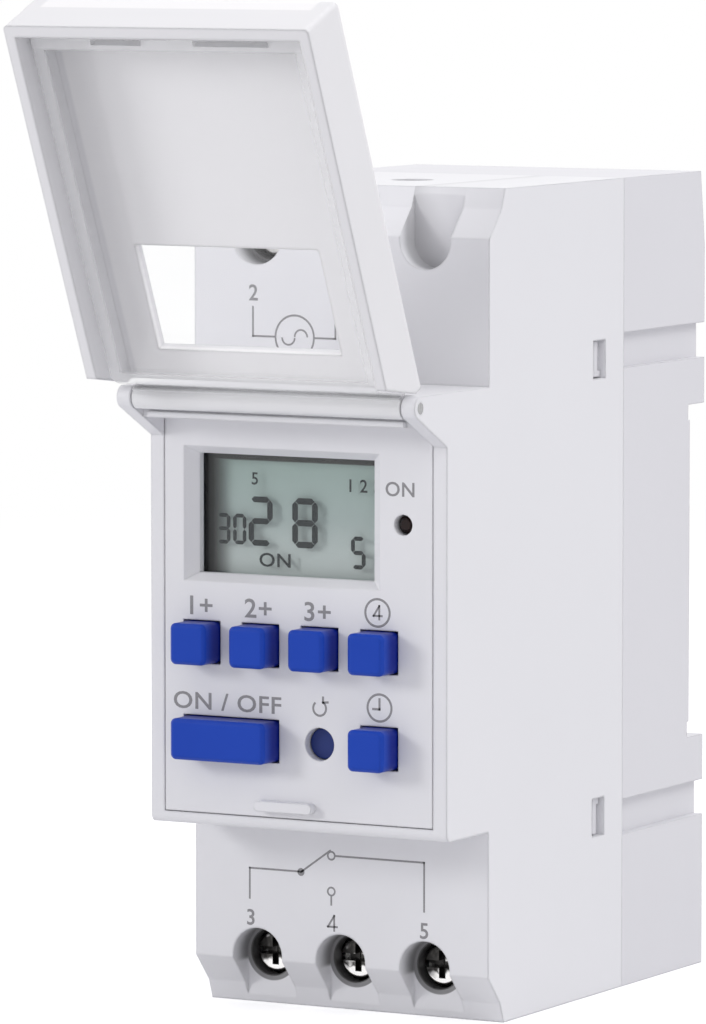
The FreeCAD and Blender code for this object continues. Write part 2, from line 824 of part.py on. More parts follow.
def latch_spring():
    """A coil spring between the latch and the stop on the base, with a six-sided wire."""
    rise = s.spring_length - s.spring_wire
    helix = doc.addObject("Part::Helix", "spring_path")
    helix.setExpression("Pitch", s.spring_pitch.text)
    helix.setExpression("Height", rise.text)
    helix.setExpression("Radius", s.spring_radius.text)
    section = doc.addObject("Part::RegularPolygon", "spring_section")
    section.Polygon = WIRE_SIDES
    section.setExpression("Circumradius", (s.spring_wire / 2).text)
    place_at(section, (s.spring_radius, 0, 0), Rotation(Vector(1, 0, 0), 90))
    spring = doc.addObject("Part::Sweep", "latch_spring")
    spring.Sections = [section]
    spring.Spine = (helix, [])
    spring.Solid = True
    spring.Frenet = True
    middle_y = (latch_front + s.rear_lip - s.latch_play) / 2
    low = latch_top - s.spring_length - s.spring_radius * 2 + s.spring_wire / 2
    return place_at(spring, (0, middle_y, low))


def spring_gap():
    """The least gap between the turns of the spring, measured on points of its middle line."""
    steps = 36
    turns = (s.spring_length - s.spring_wire).value / s.spring_pitch.value
    points = []
    for step in range(int(turns * steps) + 1):
        angle = 2 * math.pi * step / steps
        radius = s.spring_radius.value
        rise = s.spring_pitch.value * step / steps
        points.append(Vector(radius * math.cos(angle), radius * math.sin(angle), rise))
    apart = [points[a].distanceToPoint(points[b])
             for a in range(len(points)) for b in range(a + steps // 2, len(points))]
    return min(apart) - s.spring_wire.value


def face_plate():
    body = new_body("face_plate")
    add_block(body, "plate", (-plate_half, plate_half), (frame_y, plate_back), (plate_low, plate_high))

    # the display opening with sloping sides
    window = display_sides, display_ends
    outer = new_sketch(body, "display_rim", "XZ", frame_y)
    add_loop(outer, corners_of(widened(display_sides, s.display_bevel_side),
                               widened(display_ends, s.display_bevel_end)))
    inner = new_sketch(body, "display_foot", "XZ", frame_y + s.display_bevel_depth)
    add_loop(inner, corners_of(*window))
    loft = body.newObject("PartDesign::SubtractiveLoft", "display_slope")
    loft.Profile = outer
    loft.Sections = [inner]
    loft.Ruled = True
    body.Tip = loft
    cut_block(body, "display_window", window[0], (frame_y, plate_back + TOUCH), window[1])

    cut_blocks(body, "key_holes", (frame_y - TOUCH, plate_back + TOUCH),
               [key_hole(name, s.key_play) for name in KEYS])
    holes = [reset_place() + (s.reset_radius + s.key_play,),
             (led_across, s.led_height, s.led_radius + s.key_play)]
    cut_rounds(body, "round_holes", (frame_y - TOUCH, plate_back + TOUCH), holes)

    # the round-ended lip that holds the closed lid
    lip_low = lid_edge() + s.catch_gap
    lip_front = frame_y - s.catch_proud
    add_block(body, "catch_lip", middle(s.catch_middle, s.catch_width),
              (lip_front, frame_y + TOUCH), (lip_low, lip_low + s.catch_tall))
    half = s.catch_proud.value
    round_edges(body, "lip_rounding", s.catch_rounding,
                lambda at, way: abs(way.y) > 0.9 and abs(at.y - lip_front.value - half / 2) < half / 2)
    return body


def lid_edge():
    """Height of the inner face of the lid's free end when it is shut."""
    return s.hinge_height - lid_length + s.lid_wall


def shut_lid_to_open(body):
    """Hinge a lid piece, drawn shut about its axis, to where it stands open."""
    body.Placement = Placement(Vector(0, 0, 0), Rotation(Vector(1, 0, 0), -s.lid_open.value))
    body.setExpression(".Placement.Base.y", (-s.hinge_depth).text)
    body.setExpression(".Placement.Base.z", s.hinge_height.text)
    body.setExpression(".Placement.Rotation.Angle", (s.lid_open * -1).text)
    return body


def lid_shell():
    """Drawn shut, with the hinge axis along X through its own origin."""
    body = new_body("lid_shell")
    # the sloping heel clears the boss and the slope of the cheek
    clear = s.boss_radius + s.hinge_play
    turn_y = (cosine(s.cheek_slope) * s.lid_back - clear) / sine(s.cheek_slope)
    sketch = new_sketch(body, "lid_side", "YZ", 0)
    add_loop(sketch, [
        (-s.lid_front, -s.lid_back), (turn_y, -s.lid_back), (s.lid_rim, -s.lid_heel),
        (s.lid_rim, -lid_length), (-s.lid_front, -lid_length),
    ])
    pad(body, "lid_block", sketch, s.width, both_sides=True)
    round_edges(body, "lid_corners", s.lid_corner_rounding,
                lambda at, way: near(abs(at.x), half_width) and near(at.z, -lid_length))
    round_edges(body, "lid_edges", s.lid_edge_rounding,
                lambda at, way: near(at.y, -s.lid_front) and not near(at.z, -s.lid_back))
    room = half_width - s.lid_side
    floor = s.lid_wall - s.lid_front
    end = s.lid_wall - lid_length
    cut_block(body, "lid_room", (-room, room), (floor, s.lid_rim + PAST), (end, PAST))
    window_high = display_ends[1] + s.lid_window_over - s.hinge_height
    window_low = display_ends[0] + s.lid_window_under - s.hinge_height
    window = (display_sides[0] + s.lid_window_left, display_sides[1] + s.lid_window_right)
    cut_block(body, "lid_window", window, (-s.lid_front - PAST, floor + TOUCH), (window_low, window_high))
    nub_back = s.lid_rim - s.nub_depth
    add_block(body, "catch_nub", middle(s.catch_middle, s.nub_width), (nub_back - s.catch_proud, nub_back),
              (end - TOUCH, end + s.nub_proud))
    return shut_lid_to_open(body)


def lid_lens():
    """The clear tray in the lid, drawn shut, with the barrel that turns on the pins."""
    body = new_body("lid_lens")
    side = inner_half - s.lens_play * 2
    face = s.lid_wall - s.lid_front + s.lens_play
    back = face + s.lens_thickness
    rim = back + s.lens_skirt
    end = s.lid_wall - lid_length + s.lens_play
    sketch = new_sketch(body, "barrel_side", "YZ", 0)
    add_circle(sketch, 0, 0, s.barrel_radius)
    pad(body, "barrel", sketch, side * 2, both_sides=True)
    add_block(body, "lens", (-side, side), (face, back), (end, 0))
    add_block(body, "tray", (-side, side), (back - TOUCH, rim), (end, -s.lens_foot))
    tray_middle = (back.value - TOUCH + rim.value) / 2
    round_edges(body, "tray_corners", s.lens_rounding,
                lambda at, way: abs(way.y) > 0.9 and near(at.z, -s.lens_foot) and abs(at.y - tray_middle) < 1)

    # the room of the tray, with sides that slope in to its floor
    room = (side - s.lens_thickness) * -1, side - s.lens_thickness
    ends = end + s.lens_end, -s.lens_foot - s.lens_thickness
    mouth = new_sketch(body, "tray_mouth", "XZ", rim)
    add_loop(mouth, corners_of(room, ends))
    floor = new_sketch(body, "tray_floor", "XZ", back)
    add_loop(floor, corners_of(widened(room, -s.lens_slope), widened(ends, -s.lens_slope_end)))
    loft = body.newObject("PartDesign::SubtractiveLoft", "tray_room")
    loft.Profile = mouth
    loft.Sections = [floor]
    loft.Ruled = True
    body.Tip = loft

    # slots that let the free end give when it snaps over the lip
    slot = (end + s.slot_setback, end + s.slot_setback + s.slot_across)
    left, right = s.slot_inner * -1, s.slot_inner
    cut_blocks(body, "end_slots", (back, rim + PAST),
               [((left - s.slot_left, left), slot), ((right, right + s.slot_right), slot)])
    for name, place in (("left", -side - TOUCH), ("right", side - s.pin_length)):
        sketch = new_sketch(body, f"{name}_bore_outline", "YZ", place)
        add_circle(sketch, 0, 0, s.pin_radius + s.pin_play)
        pocket(body, f"{name}_bore", sketch, s.pin_length + TOUCH, against=True)
    return shut_lid_to_open(body)


def hinge_pins():
    """Two pins, pressed into the cheeks and free in the barrel."""
    length = s.pin_length - s.lens_play
    left = rod("left_pin", s.pin_radius, length, (-half_width, -s.hinge_depth, s.hinge_height), "X")
    right = rod("right_pin", s.pin_radius, length, (half_width - length, -s.hinge_depth, s.hinge_height), "X")
    return grouped("hinge_pins", [left, right])


def key(name):
    """A key with a flange behind the plate and a stem over its switch."""
    body = new_body(name)
    across, up, wide = key_place(name)
    cap = key_hole(name, size(0))
    add_block(body, name + "_cap", cap[0], (key_front, plate_back + s.glass_gap + TOUCH), cap[1])
    round_edges(body, name + "_rounding", s.key_rounding, lambda at, way: abs(way.y) > 0.9)
    chamfer_front(body, name + "_chamfer", s.key_chamfer)
    flange = key_hole(name, s.key_flange)
    back = plate_back + s.glass_gap + s.key_flange_deep
    add_block(body, name + "_flange", flange[0], (plate_back + s.glass_gap, back), flange[1])
    add_block(body, name + "_stem", middle(across, s.key_stem), (back - TOUCH, key_foot),
              middle(up, s.key_stem))
    return body


def reset_button():
    across, up = reset_place()
    flange_front = plate_back + s.glass_gap
    flange_back = flange_front + s.key_flange_deep
    flange = s.reset_radius + s.key_play + s.key_flange
    points = [
        (0, frame_y + s.reset_sunk), (s.reset_radius, frame_y + s.reset_sunk), (s.reset_radius, flange_front),
        (flange, flange_front), (flange, flange_back), (s.key_stem / 2, flange_back),
        (s.key_stem / 2, key_foot), (0, key_foot),
    ]
    body = new_body("reset_button")
    turned(body, "reset_turning", points, (across, up))
    return body


def status_led():
    front = frame_y + s.reset_sunk / 2
    back = front + s.led_length
    rim = s.led_radius + s.led_rim
    points = [
        (0, front), (s.led_radius - s.led_dome, front), (s.led_radius, front + s.led_dome),
        (s.led_radius, back - s.led_rim_tall), (rim, back - s.led_rim_tall), (rim, back), (0, back),
    ]
    body = new_body("status_led")
    turned(body, "led_turning", points, (led_across, s.led_height))
    for name, shift in (("left_leg", -s.led_leg_gap / 2), ("right_leg", s.led_leg_gap / 2)):
        add_block(body, name, middle(led_across + shift, s.led_leg), (back - TOUCH, board_front),
                  middle(s.led_height, s.led_leg))
    return body


def display_glass():
    return box("display_glass", widened(display_sides, s.glass_border), (glass_front, glass_back),
               widened(display_ends, s.glass_border))


def display_backing():
    """An open frame that holds the glass off the board."""
    across = widened(display_sides, s.glass_border)
    up = middle(s.display_height - s.glass_border, s.display_tall)
    body = new_body("display_backing")
    add_block(body, "backing_block", across, (glass_back, board_front), up)
    cut_block(body, "backing_room", (across[0] + s.wall, across[1] - s.wall),
              (glass_back + s.wall / 2, board_front + PAST), (up[0] + s.wall, up[1] - s.wall))
    return body


def contact_strip():
    up = middle(display_ends[1], s.glass_border * 2)
    return box("contact_strip", display_sides, (glass_back, board_front), up)


def display_board():
    return box("display_board", (-board_half, board_half), (board_front, board_back), (board_low, board_high))


def tact_switches():
    """One switch under each key: a square case with a square plunger."""
    places = [key_place(name)[:2] for name in KEYS] + [reset_place()]
    switches = []
    for number, (across, up) in enumerate(places, 1):
        case = box(f"switch_case_{number}", middle(across, s.switch_side),
                   (board_front - s.switch_tall, board_front), middle(up, s.switch_side))
        plunger = box(f"plunger_{number}", middle(across, s.plunger_side),
                      (switch_top, board_front - s.switch_tall + TOUCH), middle(up, s.plunger_side))
        switches.append(joined(f"switch_{number}", [case, plunger]))
    return grouped("tact_switches", switches)


def control_chip():
    return box("control_chip", middle(s.chip_across, s.chip_side),
               (board_back, board_back + s.chip_thickness), middle(s.chip_height, s.chip_side))


def quartz_crystal():
    """A round can that lies on the board, with a flat foot under it."""
    axis_y = board_back + s.crystal_radius
    can = rod("crystal_can", s.crystal_radius, s.crystal_length,
              (s.crystal_across, axis_y, s.crystal_foot), "Z")
    rest = box("crystal_rest", middle(s.crystal_across, s.crystal_radius), (board_back, axis_y),
               (s.crystal_foot + s.lead, s.crystal_foot + s.crystal_length - s.lead))
    return joined("quartz_crystal", [can, rest])


def backup_battery():
    front = board_back + s.clip_sheet
    return rod("backup_battery", s.battery_radius, s.battery_tall, (0, front, s.battery_height), "Y")


def battery_clip():
    """A spring sheet bridge, with its feet on the board."""
    back = board_back + s.clip_sheet + s.battery_tall
    outside = s.battery_radius + s.clip_sheet * 2
    tall = middle(s.battery_height, s.clip_width)
    bridge = box("clip_bridge", (-outside, outside), (back, back + s.clip_sheet), tall)
    legs = []
    for name, low in (("left", -outside), ("right", outside - s.clip_sheet)):
        leg = box(f"clip_{name}_leg", (low, low + s.clip_sheet), (board_back, back + s.clip_sheet), tall)
        legs.append(leg)
    return joined("battery_clip", [bridge] + legs)


def power_board():
    side = cavity_side - s.board_play
    end = cavity_end - s.board_play
    return box("power_board", (-side, side), (power_front, power_back), (-end, end))


def board_header():
    """Two plastic bars with pins that reach from board to board."""
    across = middle(0, s.header_pitch * HEADER_PINS)
    up = middle(s.header_height, s.header_bar)
    pieces = [box("header_front_bar", across, (board_back, board_back + s.header_bar), up),
              box("header_back_bar", across, (power_front - s.header_bar, power_front), up)]
    depth = (board_back + s.header_pin, power_front - s.header_pin)
    for number in range(HEADER_PINS):
        place = s.header_pitch * (number + 0.5 - HEADER_PINS / 2)
        pieces.append(box(f"header_pin_{number + 1}", middle(place, s.header_pin), depth,
                          middle(s.header_height, s.header_pin)))
    return joined("board_header", pieces)


def standing_case(name, across, tall, up):
    """A moulded case that stands on the power board, with rounded upright edges."""
    body = new_body(name)
    add_block(body, name + "_case", across, (power_back, power_back + tall), up)
    round_edges(body, name + "_rounding", s.case_rounding, lambda at, way: abs(way.y) > 0.9)
    return body


def relay():
    left = s.relay_side - cavity_side
    return standing_case("relay", (left, left + s.relay_width), s.relay_tall,
                         (s.relay_foot, s.relay_foot + s.relay_length))


def film_sides():
    right = cavity_side - s.film_side
    return right - s.film_width, right


def dropper_capacitor():
    return standing_case("dropper_capacitor", film_sides(), s.film_tall,
                         (s.film_foot, s.film_foot + s.film_length))


def smoothing_capacitor():
    return rod("smoothing_capacitor", s.can_radius, s.can_tall,
               (cavity_side - s.can_side, power_back, s.can_height), "Y")


def leaded(name, can, low, high, beside, axis_y, up=True):
    """Give a round can its two leads, each bent square to the power board.

    The can runs from low to high along Z, or along X if not up, and beside is its place across that.
    """
    depth = middle(axis_y, s.lead)
    across = middle(beside, s.lead)
    pieces = [can]
    for end, near_place, far_place in (("low", low + TOUCH, low - s.lead_reach),
                                       ("high", high - TOUCH, high + s.lead_reach)):
        foot = far_place + s.lead if end == "low" else far_place - s.lead
        run = (far_place, near_place) if end == "low" else (near_place, far_place)
        leg = (far_place, foot) if end == "low" else (foot, far_place)
        lead = (across, depth, run) if up else (run, depth, across)
        stand = (across, (power_back, axis_y), leg) if up else (leg, (power_back, axis_y), across)
        pieces += [box(f"{name}_{end}_lead", *lead), box(f"{name}_{end}_foot", *stand)]
    return joined(name, pieces)


def rectifier_diodes():
    diodes = []
    axis_y = power_back + s.diode_radius
    for number in range(DIODES):
        across = s.diode_side - cavity_side + s.diode_pitch * number
        can = rod(f"diode_{number + 1}", s.diode_radius, s.diode_length, (across, axis_y, s.diode_foot), "Z")
        diodes.append(leaded(f"diode_set_{number + 1}", can, s.diode_foot, s.diode_foot + s.diode_length,
                             across, axis_y))
    return grouped("rectifier_diodes", diodes)


def fuse_resistor():
    axis_y = power_back + s.resistor_radius
    right = film_sides()[0] - s.resistor_gap - s.lead_reach
    left = right - s.resistor_length
    can = rod("resistor_can", s.resistor_radius, s.resistor_length, (left, axis_y, s.resistor_height), "X")
    return leaded("fuse_resistor", can, left, right, s.resistor_height, axis_y, up=False)


def terminal_screw(number):
    """A screw with a slot and a shorter cross slot, and a plain round shank."""
    across, up, side = terminal_place(number)
    body = new_body(f"terminal_screw_{number}")
    tip = bar_front - s.screw_play
    points = [
        (0, head_front), (s.head_radius - s.head_chamfer, head_front),
        (s.head_radius, head_front + s.head_chamfer),
        (s.head_radius, head_back), (s.screw_radius, head_back), (s.screw_radius, tip), (0, tip),
    ]
    turned(body, f"screw_{number}_turning", points, (across, up))
    deep = (head_front - TOUCH, head_front + s.slot_deep)
    cut_block(body, f"screw_{number}_slot", middle(across, s.slot_wide), deep,
              middle(up, s.head_radius * 2 + PAST))
    cut_block(body, f"screw_{number}_cross", middle(across, s.slot_cross), deep, middle(up, s.slot_wide))
    return body


def clamp_cage(number):
    """A cage that rises on its screw and pulls the wire against the bar."""
    across, up, side = terminal_place(number)
    body = new_body(f"clamp_cage_{number}")
    name = f"cage_{number}"
    add_block(body, name + "_block", middle(across, s.cage_width), (cage_front, cage_back),
              middle(up, s.cage_long))
    cut_block(body, name + "_opening", middle(across, s.cage_width - s.cage_wall * 2),
              (cage_front + s.cage_wall, cage_back - s.cage_wall), middle(up, s.cage_long + PAST))
    cut_rounds(body, name + "_thread", (cage_front - TOUCH, cage_front + s.cage_wall + TOUCH),
               [(across, up, s.screw_radius + s.screw_play)])
    return body


def terminal_bars():
    """One bar from the power board into each clamp."""
    bars = []
    inner = cavity_end - s.board_rest - s.wall * 2
    outer = terminal_height + s.cage_long / 2
    for number in TERMINALS:
        across, up, side = terminal_place(number)
        ends = (inner, outer) if side > 0 else (-outer, -inner)
        width = middle(across, s.bar_width)
        bars.append(box(f"terminal_bar_{number}", width, (bar_front, power_front), ends))
    return grouped("terminal_bars", bars)


nodes = [
    front_housing(), rear_base(), rail_latch(), latch_spring(), face_plate(), lid_shell(), lid_lens(),
    hinge_pins(), reset_button(), status_led(), display_glass(), display_backing(), contact_strip(),
    display_board(), tact_switches(), control_chip(), quartz_crystal(), backup_battery(), battery_clip(),
    power_board(), board_header(), relay(), dropper_capacitor(), smoothing_capacitor(),
    rectifier_diodes(), fuse_resistor(), terminal_bars(),
]
nodes += [key(name) for name in KEYS]
nodes += [terminal_screw(number) for number in TERMINALS]
nodes += [clamp_cage(number) for number in TERMINALS]

doc.recompute()
for item in doc.Objects:
    if "Invalid" in item.State or "Error" in item.State:
        raise RuntimeError(f"{item.Label} failed: {item.State}")
for node in nodes:
    if node.Shape.isNull() or not node.Shape.isValid() or node.Shape.Volume <= 0:
        raise RuntimeError(f"{node.Label} has no sound shape")

os.makedirs("parts", exist_ok=True)
for node in nodes:
    node.Shape.exportStep(f"parts/{node.Label}.step")
    print(node.Label, len(node.Shape.Solids), "solids", round(node.Shape.Volume, 2), "mm3")
print("least gap between the turns of the latch spring", round(spring_gap(), 3), "mm")
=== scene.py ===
import math

import bpy
from mathutils import Matrix, Vector


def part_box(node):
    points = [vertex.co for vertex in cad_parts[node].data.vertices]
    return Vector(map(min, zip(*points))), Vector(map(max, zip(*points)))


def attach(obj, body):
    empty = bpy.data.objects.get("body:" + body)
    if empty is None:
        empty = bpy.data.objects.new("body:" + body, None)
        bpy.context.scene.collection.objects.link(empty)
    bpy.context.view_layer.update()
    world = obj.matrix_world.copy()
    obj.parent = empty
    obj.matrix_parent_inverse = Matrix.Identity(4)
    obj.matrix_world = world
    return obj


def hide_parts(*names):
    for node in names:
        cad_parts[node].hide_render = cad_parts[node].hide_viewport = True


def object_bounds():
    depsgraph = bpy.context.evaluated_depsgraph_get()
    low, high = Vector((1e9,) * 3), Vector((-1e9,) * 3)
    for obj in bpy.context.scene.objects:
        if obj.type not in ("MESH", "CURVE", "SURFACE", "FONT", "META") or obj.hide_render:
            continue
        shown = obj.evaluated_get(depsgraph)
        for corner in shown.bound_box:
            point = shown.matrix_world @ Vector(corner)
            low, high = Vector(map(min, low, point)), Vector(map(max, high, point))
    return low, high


# Timer switch for a rail, standing on its lower end with its lid open.
# X runs across the width, +Y from the front towards the rail, +Z up. Lengths are in metres.

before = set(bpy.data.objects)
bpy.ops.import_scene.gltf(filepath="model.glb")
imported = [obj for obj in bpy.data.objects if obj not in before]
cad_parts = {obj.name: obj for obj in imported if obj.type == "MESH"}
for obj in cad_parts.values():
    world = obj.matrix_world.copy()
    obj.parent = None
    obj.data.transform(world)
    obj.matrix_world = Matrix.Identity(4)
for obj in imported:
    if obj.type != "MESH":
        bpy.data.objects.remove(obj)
cad_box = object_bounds()
bpy.ops.object.select_all(action="DESELECT")

MM = 0.001

# Places read from the frame

LIP_DEPTH = 1.0 * MM
glass_low, glass_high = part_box("display_glass")
plate_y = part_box("face_plate")[0].y + LIP_DEPTH
key_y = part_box("button_hour")[0].y
floor_z = cad_box[0].z

# Places that the finishes and signs share

SEAT_Y = -47.0 * MM
HINGE_Y = -62 * MM
HINGE_Z = 21.95 * MM
LID_LEAN = math.radians(24)

# Each terminal's column from the middle, and whether it is in the row above or below
TERMINALS = {1: (0, 1), 2: (-1, 1), 3: (-1, -1), 4: (0, -1), 5: (1, -1)}
TERMINAL_PITCH = 10 * MM
TERMINAL_HEIGHT = 38 * MM

UPRIGHT = Matrix.Rotation(math.pi / 2, 4, "X")


# Tools for shaping a piece

def active():
    return bpy.context.view_layer.objects.active


def alone(obj):
    """Make obj the only selected object."""
    bpy.ops.object.select_all(action="DESELECT")
    obj.select_set(True)
    bpy.context.view_layer.objects.active = obj


def settle(obj, name, material, body):
    """Give a finished piece its name, finish and body, with its place kept in its mesh."""
    alone(obj)
    bpy.ops.object.transform_apply(location=True, rotation=True, scale=True)
    obj.name = name
    obj.data.name = name
    obj.data.materials.clear()
    obj.data.materials.append(material)
    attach(obj, body)


def pick_faces(obj, test):
    """In edit mode, select only the faces whose normal passes the test."""
    bpy.ops.mesh.select_all(action="DESELECT")
    bpy.ops.object.mode_set(mode="OBJECT")
    for face in obj.data.polygons:
        face.select = bool(test(face.normal))
    bpy.ops.object.mode_set(mode="EDIT")


def apply_modifier(obj, kind, **settings):
    alone(obj)
    modifier = obj.modifiers.new(kind.title(), kind)
    for name, value in settings.items():
        setattr(modifier, name, value)
    bpy.ops.object.modifier_apply(modifier=modifier.name)


def block(low, high):
    """A cube primitive stretched between two corners."""
    low, high = Vector(low), Vector(high)
    bpy.ops.mesh.primitive_cube_add(size=1, location=(low + high) / 2)
    obj = active()
    obj.scale = high - low
    bpy.ops.object.transform_apply(location=True, rotation=True, scale=True)
    return obj


def bar(length, thick, width):
    """A cube primitive about the origin, its length along X and its width along Z."""
    bpy.ops.mesh.primitive_cube_add(size=1, location=(0, 0, 0))
    obj = active()
    obj.scale = (length, thick, width)
    bpy.ops.object.transform_apply(scale=True)
    return obj


def rod(radius, length, centre, sides):
    """A cylinder primitive that points from front to back."""
    bpy.ops.mesh.primitive_cylinder_add(vertices=sides, radius=radius, depth=length, location=centre,
                                        rotation=(math.pi / 2, 0, 0))
    bpy.ops.object.transform_apply(location=True, rotation=True, scale=True)
    return active()


def joined(objects):
    bpy.ops.object.select_all(action="DESELECT")
    for obj in objects:
        obj.select_set(True)
    bpy.context.view_layer.objects.active = objects[0]
    bpy.ops.object.join()
    return active()


# Tools for building a finish. A Mix node's sockets go by number, because several share a name.

MIX_FACTOR = 0
MIX_FIRST_COLOUR = 6
MIX_SECOND_COLOUR = 7
MIX_COLOUR_OUTPUT = 2


class Value:
    """A shader socket that takes part in sums. Each sum adds a Math node."""

    def __init__(self, finish, socket):
        self.finish = finish
        self.socket = socket

    def math(self, operation, *terms):
        return self.finish.node("ShaderNodeMath", {"operation": operation}, dict(enumerate(terms)))

    def __add__(self, other):
        return self.math("ADD", self, other)

    def __radd__(self, other):
        return self.math("ADD", other, self)

    def __sub__(self, other):
        return self.math("SUBTRACT", self, other)

    def __rsub__(self, other):
        return self.math("SUBTRACT", other, self)

    def __mul__(self, other):
        return self.math("MULTIPLY", self, other)

    def __rmul__(self, other):
        return self.math("MULTIPLY", other, self)

    def __abs__(self):
        return self.math("ABSOLUTE", self)

    def wrapped(self, low, high):
        """The value, brought between two limits by whole steps of their distance."""
        return self.math("WRAP", self, high, low)


class Finish:
    """A material, or the world, under construction. Colours are triples."""

    def __init__(self, name, kind="Material"):
        owners = bpy.data.worlds if kind == "World" else bpy.data.materials
        self.owner = owners.new(name)
        self.owner.use_nodes = True
        self.output_kind = f"ShaderNodeOutput{kind}"
        self.tree = self.owner.node_tree
        self.tree.nodes.clear()

    def node(self, kind, settings=None, inputs=None, output=0):
        """Add a node, set it up, feed its sockets and return one of its outputs."""
        node = self.tree.nodes.new(kind)
        for name, value in (settings or {}).items():
            if name == "stops":
                self.set_stops(node.color_ramp.elements, value)
            else:
                setattr(node, name, value)
        for name, value in (inputs or {}).items():
            socket = node.inputs[name]
            if isinstance(value, Value):
                self.tree.links.new(value.socket, socket)
            else:
                socket.default_value = (*value, 1.0) if socket.type == "RGBA" else value
        return Value(self, node.outputs[output]) if node.outputs else None

    @staticmethod
    def set_stops(elements, stops):
        while len(elements) < len(stops):
            elements.new(0.5)
        for element, (place, colour) in zip(elements, stops):
            element.position = place
            element.color = (*colour, 1.0)

    def place(self):
        return self.node("ShaderNodeTexCoord", output="Object")

    def parts(self):
        """The X, Y and Z of a place."""
        place = self.place()
        return [self.node("ShaderNodeSeparateXYZ", None, {"Vector": place}, axis) for axis in "XYZ"]

    def noise(self, scale, detail=2.0, place=None):
        """Noise from about 0 to 1. The scale is in features per metre."""
        inputs = {"Vector": place or self.place(), "Scale": scale, "Detail": detail}
        return self.node("ShaderNodeTexNoise", None, inputs)

    def ramp(self, factor, stops):
        """Blend colours along a factor. Each stop is (place, colour)."""
        return self.node("ShaderNodeValToRGB", {"stops": stops}, {"Fac": factor})

    def blend(self, factor, first, second):
        """Mix two colours, each a triple or a socket."""
        inputs = {MIX_FACTOR: factor, MIX_FIRST_COLOUR: first, MIX_SECOND_COLOUR: second}
        return self.node("ShaderNodeMix", {"data_type": "RGBA"}, inputs, MIX_COLOUR_OUTPUT)

    def span(self, factor, low, high, first=0.0, second=1.0):
        """Map a value from low..high to first..second, smoothly and without running past the ends."""
        inputs = {"Value": factor, "From Min": low, "From Max": high, "To Min": first, "To Max": second}
        return self.node("ShaderNodeMapRange", {"interpolation_type": "SMOOTHSTEP"}, inputs)

    def beyond(self, length, low, high):
        """0 at one length and 1 at the other, both in millimetres, and smooth between them."""
        return self.span(length, low * MM, high * MM)

    def within(self, length, low, high):
        """1 at one length and 0 at the other, both in millimetres, and smooth between them."""
        return self.span(length, low * MM, high * MM, 1.0, 0.0)

    def larger(self, first, *others):
        for other in others:
            first = first.math("MAXIMUM", first, other)
        return first

    def from_axis(self, first, second):
        """The distance from an axis, from its two offsets."""
        return self.length(self.node("ShaderNodeCombineXYZ", None, {0: first, 1: second}))

    def length(self, vector):
        return self.node("ShaderNodeVectorMath", {"operation": "LENGTH"}, {0: vector}, "Value")

    def grazing(self):
        """How much a clear surface mirrors: little face on, and nearly all at a low angle."""
        low = self.node("ShaderNodeLayerWeight", None, {"Blend": 0.5}, "Facing")
        square = low * low
        return square * square * low * 0.85 + 0.025

    def bumped(self, height, strength, distance, rounding=0.0):
        """A normal with a bump, over edges rounded by a small radius."""
        inputs = {"Height": height, "Strength": strength, "Distance": distance}
        if rounding:
            inputs["Normal"] = self.node("ShaderNodeBevel", {"samples": 4}, {"Radius": rounding})
        return self.node("ShaderNodeBump", None, inputs)

    def surface(self, **inputs):
        """A Principled shader. Underscores in the names stand for spaces."""
        named = {name.replace("_", " "): value for name, value in inputs.items()}
        return self.node("ShaderNodeBsdfPrincipled", None, named)

    def glow(self, kind, colour, strength):
        """A shader that gives light, such as Emission, or Background in the world."""
        return self.node(f"ShaderNode{kind}", None, {"Color": colour, "Strength": strength})

    def mixed(self, factor, first, second):
        """Mix two shaders."""
        return self.node("ShaderNodeMixShader", None, {0: factor, 1: first, 2: second})

    def seen(self):
        """1 for what the camera sees, straight, mirrored or through clear plastic."""
        kinds = ("Camera", "Glossy", "Transmission")
        return self.larger(*[self.node("ShaderNodeLightPath", output=f"Is {kind} Ray") for kind in kinds])

    def close(self, shader):
        self.node(self.output_kind, None, {"Surface": shader})
        return self.owner


def scaled(colour, factor):
    return tuple(channel * factor for channel in colour)


# Finishes

PLASTIC_IOR = 1.49
FLOW_SCALE = 38
GRAIN_SCALE = 2600
GRAIN_DEPTH = 0.012 * MM

# The casing's terminal fronts, in millimetres: sizes, places from the middle, and depths along Y
FRONT_HALF_WIDTH = 13.5
SEAT_HALF_WIDTH = 17.3
SEAT_FOOT = 22.0
SEAT_TOP = 39.0
BLANK_NOTCH_SIDE = 6.6
RECESS_RADIUS = 3.0
SCREW_RADIUS = 2.6
RECESS_MOUTH = -46.9
RECESS_FLOOR = -43.9
BLANK_NOTCH_FLOOR = -45.2
SLOT_FLOOR = -42.8

# How dark the painted shade in the casing's hollows is, from 0 to 1, and in what colour
WALL_SHADE = 0.76
NOTCH_SHADE = 0.40
SEAT_SHADE = 0.14
GAP_SHADE = 0.96
SHADE_COLOUR = (0.05, 0.048, 0.047)

# The open lid and its tray, in millimetres from the hinge's axis or the middle
LID_FLOOR_HALF_WIDTH = 15.3
LID_FLOOR_TOP = 1.0
LID_FLOOR_BACK = -1.2
BARREL_RADIUS = 1.15
TRAY_RIM = 3.7
TRAY_END = 41.3

# The display's window, in millimetres
WINDOW_LOW = 3.3
WINDOW_HIGH = 15.8
WINDOW_LEFT = -12.2
LEFT_BORDER_END = -9.2
TOP_BORDER_START = 14.92


